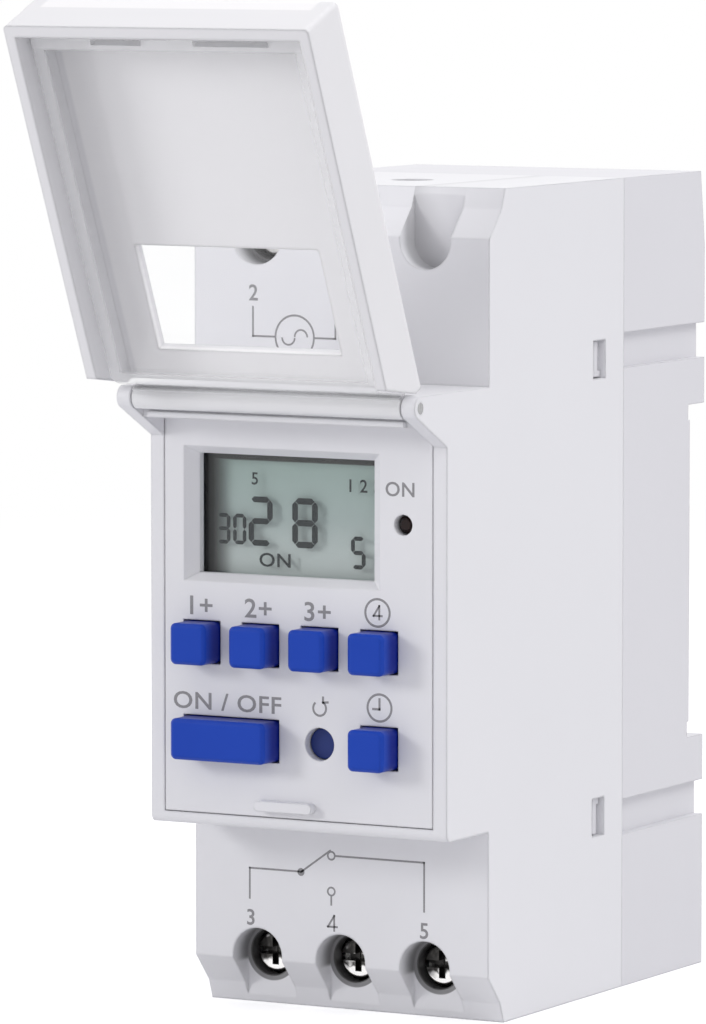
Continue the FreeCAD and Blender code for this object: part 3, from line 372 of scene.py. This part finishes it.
def moulded(name, colour, roughness, rounding=0.25 * MM, sheen=0.5, paint_light_and_shade=None):
    """Injection-moulded plastic: fine spark grain, faint flow clouds and softened edges."""
    finish = Finish(name)
    flow = finish.noise(FLOW_SCALE, detail=3)
    grain = finish.noise(GRAIN_SCALE)
    tint = finish.blend(flow, scaled(colour, 0.965), scaled(colour, 1.02))
    # Some finishes paint light or shade into the tint here
    if paint_light_and_shade:
        tint = paint_light_and_shade(finish, tint)
    rough = roughness + (flow - 0.5) * 0.10 + (grain - 0.5) * 0.08
    normal = finish.bumped(grain, strength=0.35, distance=GRAIN_DEPTH, rounding=rounding)
    return finish.close(finish.surface(Base_Color=tint, Roughness=rough, Normal=normal, IOR=PLASTIC_IOR,
                                       Specular_IOR_Level=sheen))


def casing_painted_shade(finish, tint):
    """Painted shade: darken the casing's tint in the screw recesses, in the blank notch and behind the
    lid.
    """
    across, depth, up = finish.parts()
    sideways = abs(across)
    beside = across.wrapped(-TERMINAL_PITCH / 2, TERMINAL_PITCH / 2)
    above = abs(up) - TERMINAL_HEIGHT
    radius = finish.from_axis(beside, above)
    on_front = finish.within(sideways, FRONT_HALF_WIDTH, FRONT_HALF_WIDTH + 0.5)
    inside = on_front * finish.within(radius, RECESS_RADIUS, RECESS_RADIUS + 0.15)
    blank = finish.beyond(across, BLANK_NOTCH_SIDE, BLANK_NOTCH_SIDE + 0.3) * finish.beyond(up, -1.0, 1.0)
    screwed = 1.0 - blank

    # Painted shade: the recess walls are painted darker with depth
    walls = inside * screwed * finish.beyond(depth, RECESS_MOUTH, RECESS_FLOOR) * WALL_SHADE

    # Painted shade: the blank notch, which opens upwards, is painted darkest low on its left
    channel = finish.beyond(above, 0.0, 0.2)
    channel = channel * finish.within(abs(beside), RECESS_RADIUS, RECESS_RADIUS + 0.1)
    notch = on_front * blank * finish.larger(inside, channel)
    notch = notch * finish.beyond(depth, RECESS_MOUTH + 0.1, BLANK_NOTCH_FLOOR)
    notch = notch * finish.span(above * -0.5 - beside, -2.4 * MM, 2.9 * MM, 0.02, NOTCH_SHADE)

    # Painted shadow of the lid: the upper seat is painted a little darker low on the right, behind the lid
    seat = SEAT_Y / MM
    on_seat = finish.beyond(depth, seat - 0.2, seat - 0.1) * finish.within(depth, seat + 0.1, seat + 0.2)
    on_seat = on_seat * finish.beyond(up, SEAT_FOOT, SEAT_FOOT + 0.5)
    on_seat = on_seat * finish.within(sideways, SEAT_HALF_WIDTH, SEAT_HALF_WIDTH + 0.15)
    low_down = finish.beyond(up, SEAT_TOP, SEAT_FOOT + 1)
    sheltered = on_seat * low_down * finish.beyond(across, 2.0, 9.0) * SEAT_SHADE

    # Painted shade: the gap around each screw's head is painted nearly black
    on_floor = on_front * screwed * finish.beyond(depth, RECESS_FLOOR - 0.05, RECESS_FLOOR + 0.05)
    inner, outer = (SCREW_RADIUS - 0.06) * MM, (SCREW_RADIUS + 0.06) * MM
    gap = on_floor * finish.span(radius, inner, outer, GAP_SHADE, WALL_SHADE)
    gap = gap * finish.within(radius, RECESS_RADIUS - 0.05, RECESS_RADIUS + 0.05)
    return finish.blend(finish.larger(walls, notch, sheltered, gap), tint, SHADE_COLOUR)


def from_hinge(finish):
    """Lengths from the hinge's axis: to the back, up, and across the open lid towards its inner side."""
    _, depth, up = finish.parts()
    back, above = depth - HINGE_Y, up - HINGE_Z
    return back, above, back * -math.cos(LID_LEAN) - above * math.sin(LID_LEAN)


def lid_painted_light(finish, tint):
    """A paler floor, where the lid lies behind the clear tray: painted light that makes up for the light
    the tray holds back.
    """
    across = finish.parts()[0]
    inward = from_hinge(finish)[2]
    # Painted light on the floor behind the tray
    floor = finish.within(abs(across), LID_FLOOR_HALF_WIDTH, LID_FLOOR_HALF_WIDTH + 0.5)
    floor = floor * finish.within(inward, LID_FLOOR_TOP, LID_FLOOR_TOP + 0.3)
    floor = floor * finish.beyond(inward, LID_FLOOR_BACK - 0.3, LID_FLOOR_BACK)
    return finish.blend(floor, tint, (0.91, 0.90, 0.905))


def key_plastic():
    """Blue key plastic, with painted shade that darkens its flanks where they run down into the casing."""
    finish = Finish("key_blue")
    flow = finish.noise(120, detail=3)
    grain = finish.noise(GRAIN_SCALE)
    depth = finish.parts()[1]
    # Painted shade: the flanks darken from just behind the front face towards the casing
    painted_flank_shade = finish.span(depth, key_y + 0.25 * MM, key_y + 2.2 * MM)
    face = finish.blend(flow, (0.010, 0.053, 0.41), (0.013, 0.062, 0.455))
    tint = finish.blend(painted_flank_shade, face, (0.001, 0.012, 0.22))
    rough = 0.36 + (grain - 0.5) * 0.08
    normal = finish.bumped(grain, strength=0.30, distance=GRAIN_DEPTH, rounding=0.45 * MM)
    return finish.close(finish.surface(Base_Color=tint, Roughness=rough, Normal=normal,
                                       Specular_IOR_Level=0.15))


def clear_plastic():
    """Clear polished plastic: see-through face on, glossy and a little milky at a low angle."""
    finish = Finish("clear_tray")
    flow = finish.noise(60, detail=3)
    normal = finish.bumped(flow, strength=0.10, distance=0.2 * MM, rounding=0.12 * MM)
    gloss = finish.surface(Base_Color=(0.93, 0.93, 0.93), Roughness=0.06, Metallic=1.0, Normal=normal)
    milk = finish.surface(Base_Color=(0.84, 0.84, 0.85), Roughness=0.22, Normal=normal, IOR=PLASTIC_IOR)
    through = finish.node("ShaderNodeBsdfTransparent", None, {"Color": (0.992, 0.993, 0.994)})
    back, above, inward = from_hinge(finish)
    towards_end = above * math.cos(LID_LEAN) - back * math.sin(LID_LEAN)
    # Painted light: the hinge barrel is milky white, more so low down, for the white that it bends into
    # view
    barrel_painted_light = finish.span(above, 0.40 * MM, -0.15 * MM, 0.82, 0.96)
    barrel = barrel_painted_light * finish.within(finish.from_axis(back, above), BARREL_RADIUS, BARREL_RADIUS + 0.55)
    rim = finish.beyond(inward, TRAY_RIM, TRAY_RIM + 0.25) * 0.40
    end_wall = finish.beyond(towards_end, TRAY_END, TRAY_END + 0.5) * 0.50
    cloudy = finish.span(flow, 0.4, 0.8, 0.006, 0.03)
    haze = finish.larger(barrel, rim, end_wall, cloudy)
    clear = finish.mixed(finish.grazing(), through, gloss)
    return finish.close(finish.mixed(haze, clear, milk))


def display_glass_finish():
    """The display's front: clear, with faint smears in its gloss."""
    finish = Finish("display_front_glass")
    smear = finish.noise(220, detail=4)
    gloss = finish.surface(Base_Color=(0.9, 0.92, 0.92), Roughness=0.08, Metallic=1.0)
    through = finish.node("ShaderNodeBsdfTransparent", None, {"Color": (0.985, 0.99, 0.988)})
    return finish.close(finish.mixed(finish.grazing() + smear * 0.01, through, gloss))


def display_reflector_finish():
    """The grey-green back of the display, darker towards the top, with a dark border beside and above it
    that is part the cell's dark edge and part painted shade from the window's deep sides.
    """
    finish = Finish("display_reflector")
    across, _, up = finish.parts()
    speck = finish.noise(1800, detail=3)
    # Lighter at the bottom and darker towards the top
    body = finish.ramp(finish.beyond(up, WINDOW_LOW, WINDOW_HIGH), [
        (0.0, (0.55, 0.605, 0.595)), (0.45, (0.385, 0.46, 0.447)), (1.0, (0.33, 0.43, 0.40))])
    body = finish.blend(speck * 0.22, body, (0.34, 0.41, 0.395))
    # The dark border: the cell's dark edge and painted shade from the window's sides
    left = finish.within(across, WINDOW_LEFT, LEFT_BORDER_END)
    dark_edge_and_shade = finish.larger(left, finish.beyond(up, TOP_BORDER_START, TOP_BORDER_START + 0.2))
    colour = finish.blend(dark_edge_and_shade, body, (0.012, 0.011, 0.012))
    normal = finish.bumped(speck, strength=0.2, distance=0.01 * MM)
    return finish.close(finish.surface(Base_Color=colour, Roughness=0.55, Normal=normal))


def lamp_finish():
    """The dark tinted resin of the lamp."""
    finish = Finish("lamp_tint")
    cloud = finish.noise(900)
    colour = finish.blend(cloud, (0.004, 0.002, 0.002), (0.022, 0.008, 0.007))
    normal = finish.bumped(cloud, strength=0.12, distance=0.03 * MM)
    return finish.close(finish.surface(Base_Color=colour, Roughness=0.16, Normal=normal,
                                       Specular_IOR_Level=0.25))


def screw_steel():
    """Plated steel whose colour paints its reflections and shade: dark, with painted bright reflections in
    patches, a painted highlight along the head's lower edge and painted shade in the slots.
    """
    finish = Finish("screw_steel")
    lines = finish.noise(4200, detail=3)
    patch = finish.noise(620)
    across, depth, up = finish.parts()
    beside = across.wrapped(-TERMINAL_PITCH / 2, TERMINAL_PITCH / 2)
    above = up.wrapped(-2 * TERMINAL_HEIGHT, 0.0) + TERMINAL_HEIGHT
    # Painted shade in the slot and the cross
    painted_slot_shade = finish.within(finish.from_axis(beside, above), 1.45, 1.6)
    painted_slot_shade = painted_slot_shade * finish.beyond(depth, SLOT_FLOOR - 0.18, SLOT_FLOOR)
    # Painted highlight along the head's lower edge
    painted_edge_highlight = finish.span(above + (patch - 0.5) * 2 * MM, -0.75 * MM, -1.15 * MM)
    # Painted reflections: bright patches on the dark steel
    painted_reflection = finish.larger(finish.span(patch, 0.50, 0.60, 0.0, 0.7), painted_edge_highlight)
    tint = finish.blend(painted_reflection * (1.0 - painted_slot_shade), (0.055, 0.053, 0.050), (0.80, 0.79, 0.77))
    rough = 0.20 + (lines - 0.5) * 0.2
    normal = finish.bumped(patch, strength=0.8, distance=0.12 * MM, rounding=0.06 * MM)
    return finish.close(finish.surface(Base_Color=tint, Roughness=rough, Metallic=1.0, Normal=normal))


def metal(name, colour, roughness):
    """Plated metal with fine drawn scratches and darker spots."""
    finish = Finish(name)
    place = finish.place()
    stretched = finish.node("ShaderNodeMapping", None, {"Vector": place, "Scale": (1.0, 1.0, 0.12)})
    lines = finish.noise(3600, detail=3, place=stretched)
    spots = finish.noise(900, detail=3, place=place)
    tint = finish.blend(spots, scaled(colour, 0.72), colour)
    rough = roughness + (lines - 0.5) * 0.25
    normal = finish.bumped(lines, strength=0.25, distance=0.006 * MM, rounding=0.08 * MM)
    return finish.close(finish.surface(Base_Color=tint, Roughness=rough, Metallic=1.0, Normal=normal))


def circuit_board():
    """Green solder mask with faint copper tracks under it."""
    finish = Finish("circuit_board")
    tracks = finish.node("ShaderNodeTexWave", {"wave_type": "BANDS", "bands_direction": "DIAGONAL"},
                         {"Vector": finish.place(), "Scale": 160.0, "Distortion": 3.0, "Detail": 1.0})
    mask = finish.span(tracks, 0.55, 0.7)
    colour = finish.blend(mask, (0.012, 0.085, 0.035), (0.03, 0.17, 0.07))
    normal = finish.bumped(mask, strength=0.3, distance=0.03 * MM)
    return finish.close(finish.surface(Base_Color=colour, Roughness=0.32, Normal=normal))


def ink(name, scale, dark, pale, roughness, sheen):
    """Printed or segment ink, a little uneven in colour."""
    finish = Finish(name)
    colour = finish.blend(finish.noise(scale), dark, pale)
    return finish.close(finish.surface(Base_Color=colour, Roughness=roughness, Specular_IOR_Level=sheen))


CASING = moulded("casing_white", (0.80, 0.798, 0.822), 0.40, rounding=0.4 * MM, paint_light_and_shade=casing_painted_shade)
BASE = moulded("base_white", (0.735, 0.73, 0.76), 0.44)
PLATE = moulded("plate_white", (0.79, 0.788, 0.812), 0.38)
LID = moulded("lid_white", (0.80, 0.795, 0.81), 0.34, rounding=0.5 * MM, paint_light_and_shade=lid_painted_light)
KEY = key_plastic()
RESET = moulded("reset_blue", (0.010, 0.026, 0.155), 0.42, sheen=0.3)
CLEAR = clear_plastic()
STEEL = metal("nickel_steel", (0.62, 0.60, 0.57), 0.20)
SCREW = screw_steel()
SPRING = metal("spring_steel", (0.48, 0.48, 0.49), 0.30)
ZINC = metal("zinc_plate", (0.62, 0.61, 0.55), 0.38)
BRASS = metal("terminal_brass", (0.72, 0.52, 0.22), 0.28)
BOARD = circuit_board()
BLACK = moulded("black_case", (0.018, 0.018, 0.02), 0.42)
DIFFUSER = moulded("inner_white", (0.82, 0.82, 0.82), 0.5)
STRIP = moulded("contact_rubber", (0.30, 0.30, 0.32), 0.65)
RELAY = moulded("relay_case", (0.03, 0.06, 0.19), 0.36)
FILM = moulded("film_case", (0.30, 0.045, 0.02), 0.32)
LAMP = lamp_finish()
INK = ink("pad_print", 5200, (0.20, 0.195, 0.205), (0.31, 0.305, 0.315), roughness=0.5, sheen=0.5)
SEGMENT = ink("display_segment", 2600, (0.003, 0.006, 0.009), (0.012, 0.018, 0.022),
              roughness=0.45, sheen=0.15)

FINISHES = {
    "front_housing": CASING, "rear_base": BASE, "rail_latch": BASE, "face_plate": PLATE, "lid_shell": LID,
    "lid_lens": CLEAR, "hinge_pins": SPRING, "status_led": LAMP, "reset_button": RESET,
    "latch_spring": SPRING, "contact_strip": STRIP, "display_board": BOARD, "power_board": BOARD,
    "tact_switches": BLACK, "control_chip": BLACK, "quartz_crystal": STEEL, "backup_battery": STEEL,
    "battery_clip": STEEL, "board_header": BLACK, "relay": RELAY, "dropper_capacitor": FILM,
    "smoothing_capacitor": BLACK, "rectifier_diodes": BLACK, "fuse_resistor": FILM, "terminal_bars": BRASS,
}


def dress_frame():
    """Give every CAD node its finish. The display's backing is inner white, as is its replaced glass."""
    for name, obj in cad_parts.items():
        if name.startswith("button_"):
            material = KEY
        elif name.startswith("clamp_cage"):
            material = ZINC
        elif name.startswith("terminal_screw"):
            material = SCREW
        else:
            material = FINISHES.get(name, DIFFUSER)
        obj.data.materials.clear()
        obj.data.materials.append(material)


# The display: a clear front, dark segments and a grey-green back behind them

GLASS_THICKNESS = 0.5 * MM
REFLECTOR_THICKNESS = 1.1 * MM
GLASS_EDGE = 0.08 * MM
SEGMENT_THICKNESS = 0.05 * MM
SEGMENT_GAP = 0.06 * MM
BAR_GAP_SHARE = 0.16
BAR_TIP_SHARE = 0.04
SEGMENTS = {"0": "abcdef", "2": "abged", "3": "abgcd", "5": "afgcd", "8": "abcdefg"}

# Each digit with its left and lower edges, width, height and stroke, in millimetres
DIGITS = [
    ("8", -2.1, 6.2, 3.0, 5.2, 0.66), ("2", -7.3, 6.2, 2.85, 5.15, 0.62),
    ("3", -11.1, 6.25, 1.6, 3.2, 0.40), ("0", -9.15, 6.25, 1.55, 3.2, 0.40),
    ("5", 4.85, 4.3, 1.7, 3.4, 0.44),
]


def pane(low, high, name, material):
    """A layer of the display, with its edges broken."""
    layer = block(low, high)
    apply_modifier(layer, "BEVEL", width=GLASS_EDGE, segments=2)
    settle(layer, name, material, "casing")
    return layer


def segment_bar(length, width, centre, upright):
    """One bar of a digit, pointed at both ends."""
    segment = bar(length - width, SEGMENT_THICKNESS, width)
    bpy.ops.object.mode_set(mode="EDIT")
    for side in (-1, 1):
        pick_faces(segment, lambda normal: normal.x * side > 0.9)
        bpy.ops.mesh.extrude_region_move(TRANSFORM_OT_translate={"value": (side * width * 0.5, 0, 0)})
        bpy.ops.transform.resize(value=(1, 1, BAR_TIP_SHARE))
    bpy.ops.object.mode_set(mode="OBJECT")
    turn = Matrix.Rotation(math.pi / 2, 4, "Y") if upright else Matrix.Identity(4)
    segment.data.transform(Matrix.Translation(centre) @ turn)
    return segment


def digit(symbol, across, up, width, height, stroke, depth):
    """The lit bars of a seven-bar digit whose lower left corner is at (across, up)."""
    half = (height - stroke) / 2
    inner = width - stroke
    left, right = across + stroke / 2, across + width - stroke / 2
    low, mid, high = up + stroke / 2, up + stroke / 2 + half, up + height - stroke / 2
    middle = (left + right) / 2
    upper, lower = (mid + high) / 2, (low + mid) / 2
    places = {
        "a": (middle, high, inner, False), "b": (right, upper, half, True),
        "c": (right, lower, half, True), "d": (middle, low, inner, False),
        "e": (left, lower, half, True), "f": (left, upper, half, True),
        "g": (middle, mid, inner, False),
    }
    bars = []
    for letter in SEGMENTS[symbol]:
        x, z, length, upright = places[letter]
        bars.append(segment_bar(length - BAR_GAP_SHARE * stroke, stroke, (x, depth, z), upright))
    return bars


def display():
    front_back = glass_low.y + GLASS_THICKNESS
    front = pane(glass_low, (glass_high.x, front_back, glass_high.z), "display_front",
                 display_glass_finish())
    reflector_front = glass_high.y - REFLECTOR_THICKNESS
    pane((glass_low.x, reflector_front, glass_low.z), glass_high, "display_reflector",
         display_reflector_finish())

    depth = front_back + SEGMENT_GAP
    bars = []
    for symbol, *sizes in DIGITS:
        bars += digit(symbol, *[size * MM for size in sizes], depth)
    settle(joined(bars), "display_digits", SEGMENT, "casing")
    small = [word("5", -7.0, 12.6, 1.3, depth), word("ON", -6.1, 4.1, 1.45, depth, spread=1.2),
             word("1 2 3", 4.3, 12.3, 1.35, depth)]
    settle(joined(small), "display_signs", SEGMENT, "casing")
    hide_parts("display_glass")


# Printed signs. Their places and sizes are in millimetres on the face that they are printed on.

INK_THICKNESS = 0.02 * MM
CAPITAL_SHARE = 0.72
LETTER_SPACING = 1.06
BOLD_SHARE = 0.018
RING_LINE = 0.25
CLOCK_LINE = 0.24
ARROW_LINE = 0.23
SUPPLY_RING_LINE = 0.22
FOUR_LINE = 0.21
WIRE_LINE = 0.2
KEY_LETTER = 2.0
TERMINAL_LETTER = 1.7


def placed(obj, centre, depth, turn):
    """Turn a sign's mesh and put it at its place on the face."""
    obj.data.transform(Matrix.Translation((centre[0] * MM, depth, centre[1] * MM)) @ turn)
    return obj


def word(text, across, up, tall, depth, spread=1.0, align="LEFT"):
    """A short plain word or number, with its foot at up and its left end or middle at across."""
    bpy.ops.object.text_add(location=(0, 0, 0))
    obj = active()
    obj.data.body = text
    obj.data.size = tall * MM / CAPITAL_SHARE
    obj.data.extrude = INK_THICKNESS / 2
    obj.data.align_x = align
    obj.data.space_character = LETTER_SPACING
    obj.data.offset = BOLD_SHARE * tall * MM
    obj.data.resolution_u = 4
    bpy.ops.object.convert(target="MESH")
    return placed(obj, (across, up), depth, Matrix.Diagonal((spread, 1, 1, 1)) @ UPRIGHT)


def middle_word(text, across, up, tall, depth, spread=1.0):
    return word(text, across, up, tall, depth, spread, align="CENTER")


def stroke(start, end, width, depth):
    """A straight printed line between two places."""
    start, end = Vector(start), Vector(end)
    line = end - start
    obj = bar((line.length + width) * MM, INK_THICKNESS, width * MM)
    return placed(obj, (start + end) / 2, depth, Matrix.Rotation(-math.atan2(line.y, line.x), 4, "Y"))


def strokes(points, width, depth):
    return [stroke(start, end, width, depth) for start, end in zip(points, points[1:])]


def four(across, up, tall, depth):
    """A plain 4 with an open top triangle, drawn in three strokes at shares of its height."""
    stem = across + 0.14 * tall
    crossbar = up + 0.27 * tall
    top = (stem, up + 0.96 * tall)
    corners = [top, (across - 0.30 * tall, crossbar), (across + 0.33 * tall, crossbar)]
    upright = stroke(top, (stem, up + 0.04 * tall), FOUR_LINE, depth)
    return joined(strokes(corners, FOUR_LINE, depth) + [upright])


def ring(centre, radius, width, depth):
    """A printed ring: a thin torus pressed flat."""
    bpy.ops.mesh.primitive_torus_add(major_radius=radius * MM, minor_radius=width / 2 * MM,
                                     major_segments=40, minor_segments=8)
    obj = active()
    obj.scale = (1, 1, INK_THICKNESS / (width * MM))
    bpy.ops.object.transform_apply(scale=True)
    return placed(obj, centre, depth, UPRIGHT)


def arc(centre, radius, width, depth, start, sweep):
    """Part of a printed ring, spun from a small plane and closed at both ends. Angles are in degrees."""
    bpy.ops.mesh.primitive_plane_add(size=1, location=(0, 0, 0))
    obj = active()
    obj.scale = (width * MM, INK_THICKNESS, 1)
    bpy.ops.object.transform_apply(scale=True)
    begin = Matrix.Rotation(-math.radians(start), 4, "Y")
    obj.data.transform(begin @ Matrix.Translation((radius * MM, 0, 0)))
    bpy.ops.object.mode_set(mode="EDIT")
    bpy.ops.mesh.select_all(action="SELECT")
    bpy.ops.mesh.spin(steps=24, angle=math.radians(sweep), center=(0, 0, 0), axis=(0, -1, 0))
    bpy.ops.mesh.select_all(action="SELECT")
    bpy.ops.mesh.normals_make_consistent(inside=False)
    bpy.ops.object.mode_set(mode="OBJECT")
    return placed(obj, centre, depth, Matrix.Identity(4))


def disc(centre, radius, depth):
    return rod(radius * MM, INK_THICKNESS, (centre[0] * MM, depth, centre[1] * MM), sides=32)


def plate_signs():
    """Plain numbers and pictograms beside the keys."""
    depth = plate_y
    clock = (9.64, -9.75)
    arrow = (3.0, -9.42)
    signs = [middle_word(text, across, -1.0, KEY_LETTER, depth, spread=1.1)
             for text, across in (("1+", -11.7), ("2+", -4.65), ("3+", 2.35))]
    signs += [
        four(9.4, -0.5, 1.5, depth), ring((9.4, 0.22), 1.42, RING_LINE, depth),
        middle_word("ON / OFF", -8.4, -10.9, 1.8, depth, spread=1.18),
        middle_word("ON", 12.05, 12.35, 1.5, depth, spread=1.05),
        ring((9.64, -9.6), 1.4, RING_LINE, depth),
        stroke((9.64, -8.7), clock, CLOCK_LINE, depth), stroke(clock, (8.9, -9.75), CLOCK_LINE, depth),
        arc((2.6, -10.05), 0.76, ARROW_LINE, depth, start=60, sweep=290),
        stroke(arrow, (3.0, -8.9), ARROW_LINE, depth), stroke(arrow, (3.55, -9.37), ARROW_LINE, depth),
    ]
    settle(joined(signs), "plate_signs", INK, "casing")


def terminal_signs():
    """Terminal numbers and the plain wiring signs between them."""
    depth = SEAT_Y
    contact = 0.42
    pivot = (-4.75, -28.74)
    low_foot = -34.75
    switch = strokes([(-10.93, -31.9), (-10.93, -28.7), (-5.0, -28.7)], WIRE_LINE, depth)
    switch += [disc(pivot, contact, depth), ring((-1.11, -26.77), contact, WIRE_LINE, depth)]
    switch += [stroke(pivot, (-1.25, -26.25), WIRE_LINE, depth)]
    switch += strokes([(-0.7, -26.77), (9.94, -26.77), (9.94, -31.9)], WIRE_LINE, depth)
    switch += [ring((-1.11, -30.56), contact, WIRE_LINE, depth)]
    switch += [stroke((-1.11, -31.0), (-1.11, -31.95), WIRE_LINE, depth)]
    switch += [four(-1.0, low_foot, TERMINAL_LETTER, depth)]
    switch += [middle_word("3", -10.8, low_foot, TERMINAL_LETTER, depth)]
    switch += [middle_word("5", 9.95, low_foot, TERMINAL_LETTER, depth)]
    settle(joined(switch), "lower_terminal_signs", INK, "casing")

    wave = 0.75
    high_foot = 31.3
    supply = strokes([(-10.46, 30.6), (-10.46, 27.55), (-7.75, 27.55)], WIRE_LINE, depth)
    supply += strokes([(-3.15, 27.55), (-0.6, 27.55), (-0.6, 30.6)], WIRE_LINE, depth)
    supply += [ring((-5.46, 27.55), 2.3, SUPPLY_RING_LINE, depth)]
    supply += [arc((-6.21, 27.5), wave, WIRE_LINE, depth, start=0, sweep=180)]
    supply += [arc((-4.71, 27.6), wave, WIRE_LINE, depth, start=180, sweep=180)]
    supply += [middle_word("2", -10.4, high_foot, TERMINAL_LETTER, depth)]
    supply += [middle_word("1", -0.5, high_foot, TERMINAL_LETTER, depth)]
    settle(joined(supply), "upper_terminal_signs", INK, "casing")


# Terminal screws with a slot and a cross, in place of the plain ones

HEAD_HEIGHT = 2.1 * MM
HEAD_ROUNDING = 0.45 * MM
HEAD_RIM_SHARE = 0.12
SLOT_HALF_WIDTH = 0.38 * MM
SLOT_DEPTH = 1.05 * MM
SLOT_REACH_SHARE = 1.2
CROSS_DEPTH = 1.2 * MM
CROSS_REACH_SHARE = 0.68
SHANK_RADIUS = 1.5 * MM
SHANK_OVERLAP = 0.2 * MM


def cutter(across, up, front, deep, half_width, half_height):
    """A block that cuts a slot into a head, from in front of it."""
    return block((across - half_width, front - MM, up - half_height),
                 (across + half_width, front + deep, up + half_height))


def screw(number):
    column, row = TERMINALS[number]
    across, up = TERMINAL_PITCH * column, TERMINAL_HEIGHT * row
    low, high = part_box(f"terminal_screw_{number}")
    head_radius = (high.x - low.x) / 2
    head = rod(head_radius, HEAD_HEIGHT, (across, low.y + HEAD_HEIGHT / 2, up), sides=64)
    bpy.ops.object.mode_set(mode="EDIT")
    pick_faces(head, lambda normal: normal.y < -0.9)
    bpy.ops.mesh.inset(thickness=head_radius * HEAD_RIM_SHARE, depth=0.0)
    bpy.ops.object.mode_set(mode="OBJECT")
    apply_modifier(head, "BEVEL", width=HEAD_ROUNDING, segments=4, limit_method="ANGLE",
                   angle_limit=math.radians(60))
    slot = cutter(across, up, low.y, SLOT_DEPTH, head_radius * SLOT_REACH_SHARE, SLOT_HALF_WIDTH)
    cross = cutter(across, up, low.y, CROSS_DEPTH, SLOT_HALF_WIDTH, head_radius * CROSS_REACH_SHARE)
    for tool in (slot, cross):
        apply_modifier(head, "BOOLEAN", operation="DIFFERENCE", solver="EXACT", object=tool)
        bpy.data.objects.remove(tool)
    shank_front = low.y + HEAD_HEIGHT - SHANK_OVERLAP
    shank = rod(SHANK_RADIUS, high.y - shank_front, (across, (shank_front + high.y) / 2, up), sides=40)
    whole = joined([head, shank])
    bpy.ops.object.shade_smooth_by_angle(angle=math.radians(35))
    settle(whole, f"clamp_screw_{number}", SCREW, f"screw_{number}")
    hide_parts(f"terminal_screw_{number}")


# Floor, lights and camera

WHITE = (1.0, 1.0, 1.0)
FLOOR_SIZE = 8
FLOOR_CLEARANCE = 0.02 * MM
FLOOR_BOUNCE = (0.75, 0.75, 0.76)
SHADOW_NEAR = 0.12
SHADOW_END = 0.55
WORLD_LIGHT = 0.63
WORLD_TINT = (0.97, 0.965, 1.0)
CAMERA_PLACE = (362.4 * MM, -705.4 * MM, 78.4 * MM)
CAMERA_TILT = math.radians(84.76)
CAMERA_TURN = math.radians(28.73)
CAMERA_LENS = 254.3
CAMERA_SENSOR = 36


def floor_finish():
    """A pale floor. To the camera, gloss and clear plastic it is white, with the object's own shadow."""
    finish = Finish("floor_white")
    far = finish.span(finish.length(finish.place()), SHADOW_NEAR, SHADOW_END)
    tint = finish.blend(finish.noise(3), (0.79, 0.79, 0.80), (0.81, 0.81, 0.82))
    matt = finish.node("ShaderNodeBsdfDiffuse", None, {"Color": tint})
    near = finish.node("ShaderNodeAddShader", None, {0: matt, 1: finish.glow("Emission", WHITE, 0.5)})
    shown = finish.mixed(far, near, finish.glow("Emission", WHITE, 1.0))
    bounce = finish.node("ShaderNodeBsdfDiffuse", None, {"Color": FLOOR_BOUNCE})
    return finish.close(finish.mixed(finish.seen(), bounce, shown))


def studio_world():
    """White to the camera, in gloss and through clear plastic, and a soft cool light otherwise."""
    finish = Finish("studio", "World")
    soft = finish.glow("Background", WORLD_TINT, WORLD_LIGHT)
    white = finish.glow("Background", WHITE, 1.0)
    bpy.context.scene.world = finish.close(finish.mixed(finish.seen(), soft, white))


def stage():
    bpy.ops.mesh.primitive_plane_add(size=FLOOR_SIZE, location=(0, 0, floor_z - FLOOR_CLEARANCE))
    floor = active()
    floor.name = "floor"
    floor.data.materials.append(floor_finish())
    studio_world()


def lamp(name, place, aim, size, power):
    """A large soft lamp that faces a place on the object."""
    bpy.ops.object.light_add(type="AREA", location=place)
    light = active()
    light.name = name
    light.data.shape = "DISK"
    light.data.size = size
    light.data.energy = power
    light.rotation_euler = (Vector(aim) - Vector(place)).to_track_quat("-Z", "Y").to_euler()


def lights():
    lamp("right_soft_box", (0.34, -0.10, 0.34), aim=(0, -0.03, 0.02), size=0.28, power=0.69)
    lamp("left_soft_box", (-0.38, -0.42, 0.18), aim=(0, -0.03, 0), size=0.16, power=0.86)
    lamp("top_soft_box", (0.1, 0.55, 0.9), aim=(0, -0.03, 0), size=0.8, power=3.0)


def camera():
    """The photograph's view: from the front, to the right and a little above."""
    data = bpy.data.cameras.new("camera")
    obj = bpy.data.objects.new("camera", data)
    bpy.context.collection.objects.link(obj)
    data.sensor_width = CAMERA_SENSOR
    data.lens = CAMERA_LENS
    data.clip_start = 0.05
    data.clip_end = 20
    obj.location = CAMERA_PLACE
    obj.rotation_euler = (CAMERA_TILT, 0, CAMERA_TURN)
    bpy.context.scene.camera = obj
    bpy.context.scene.view_settings.view_transform = "Standard"


camera()
stage()
lights()
dress_frame()
display()
plate_signs()
terminal_signs()
for number in TERMINALS:
    screw(number)
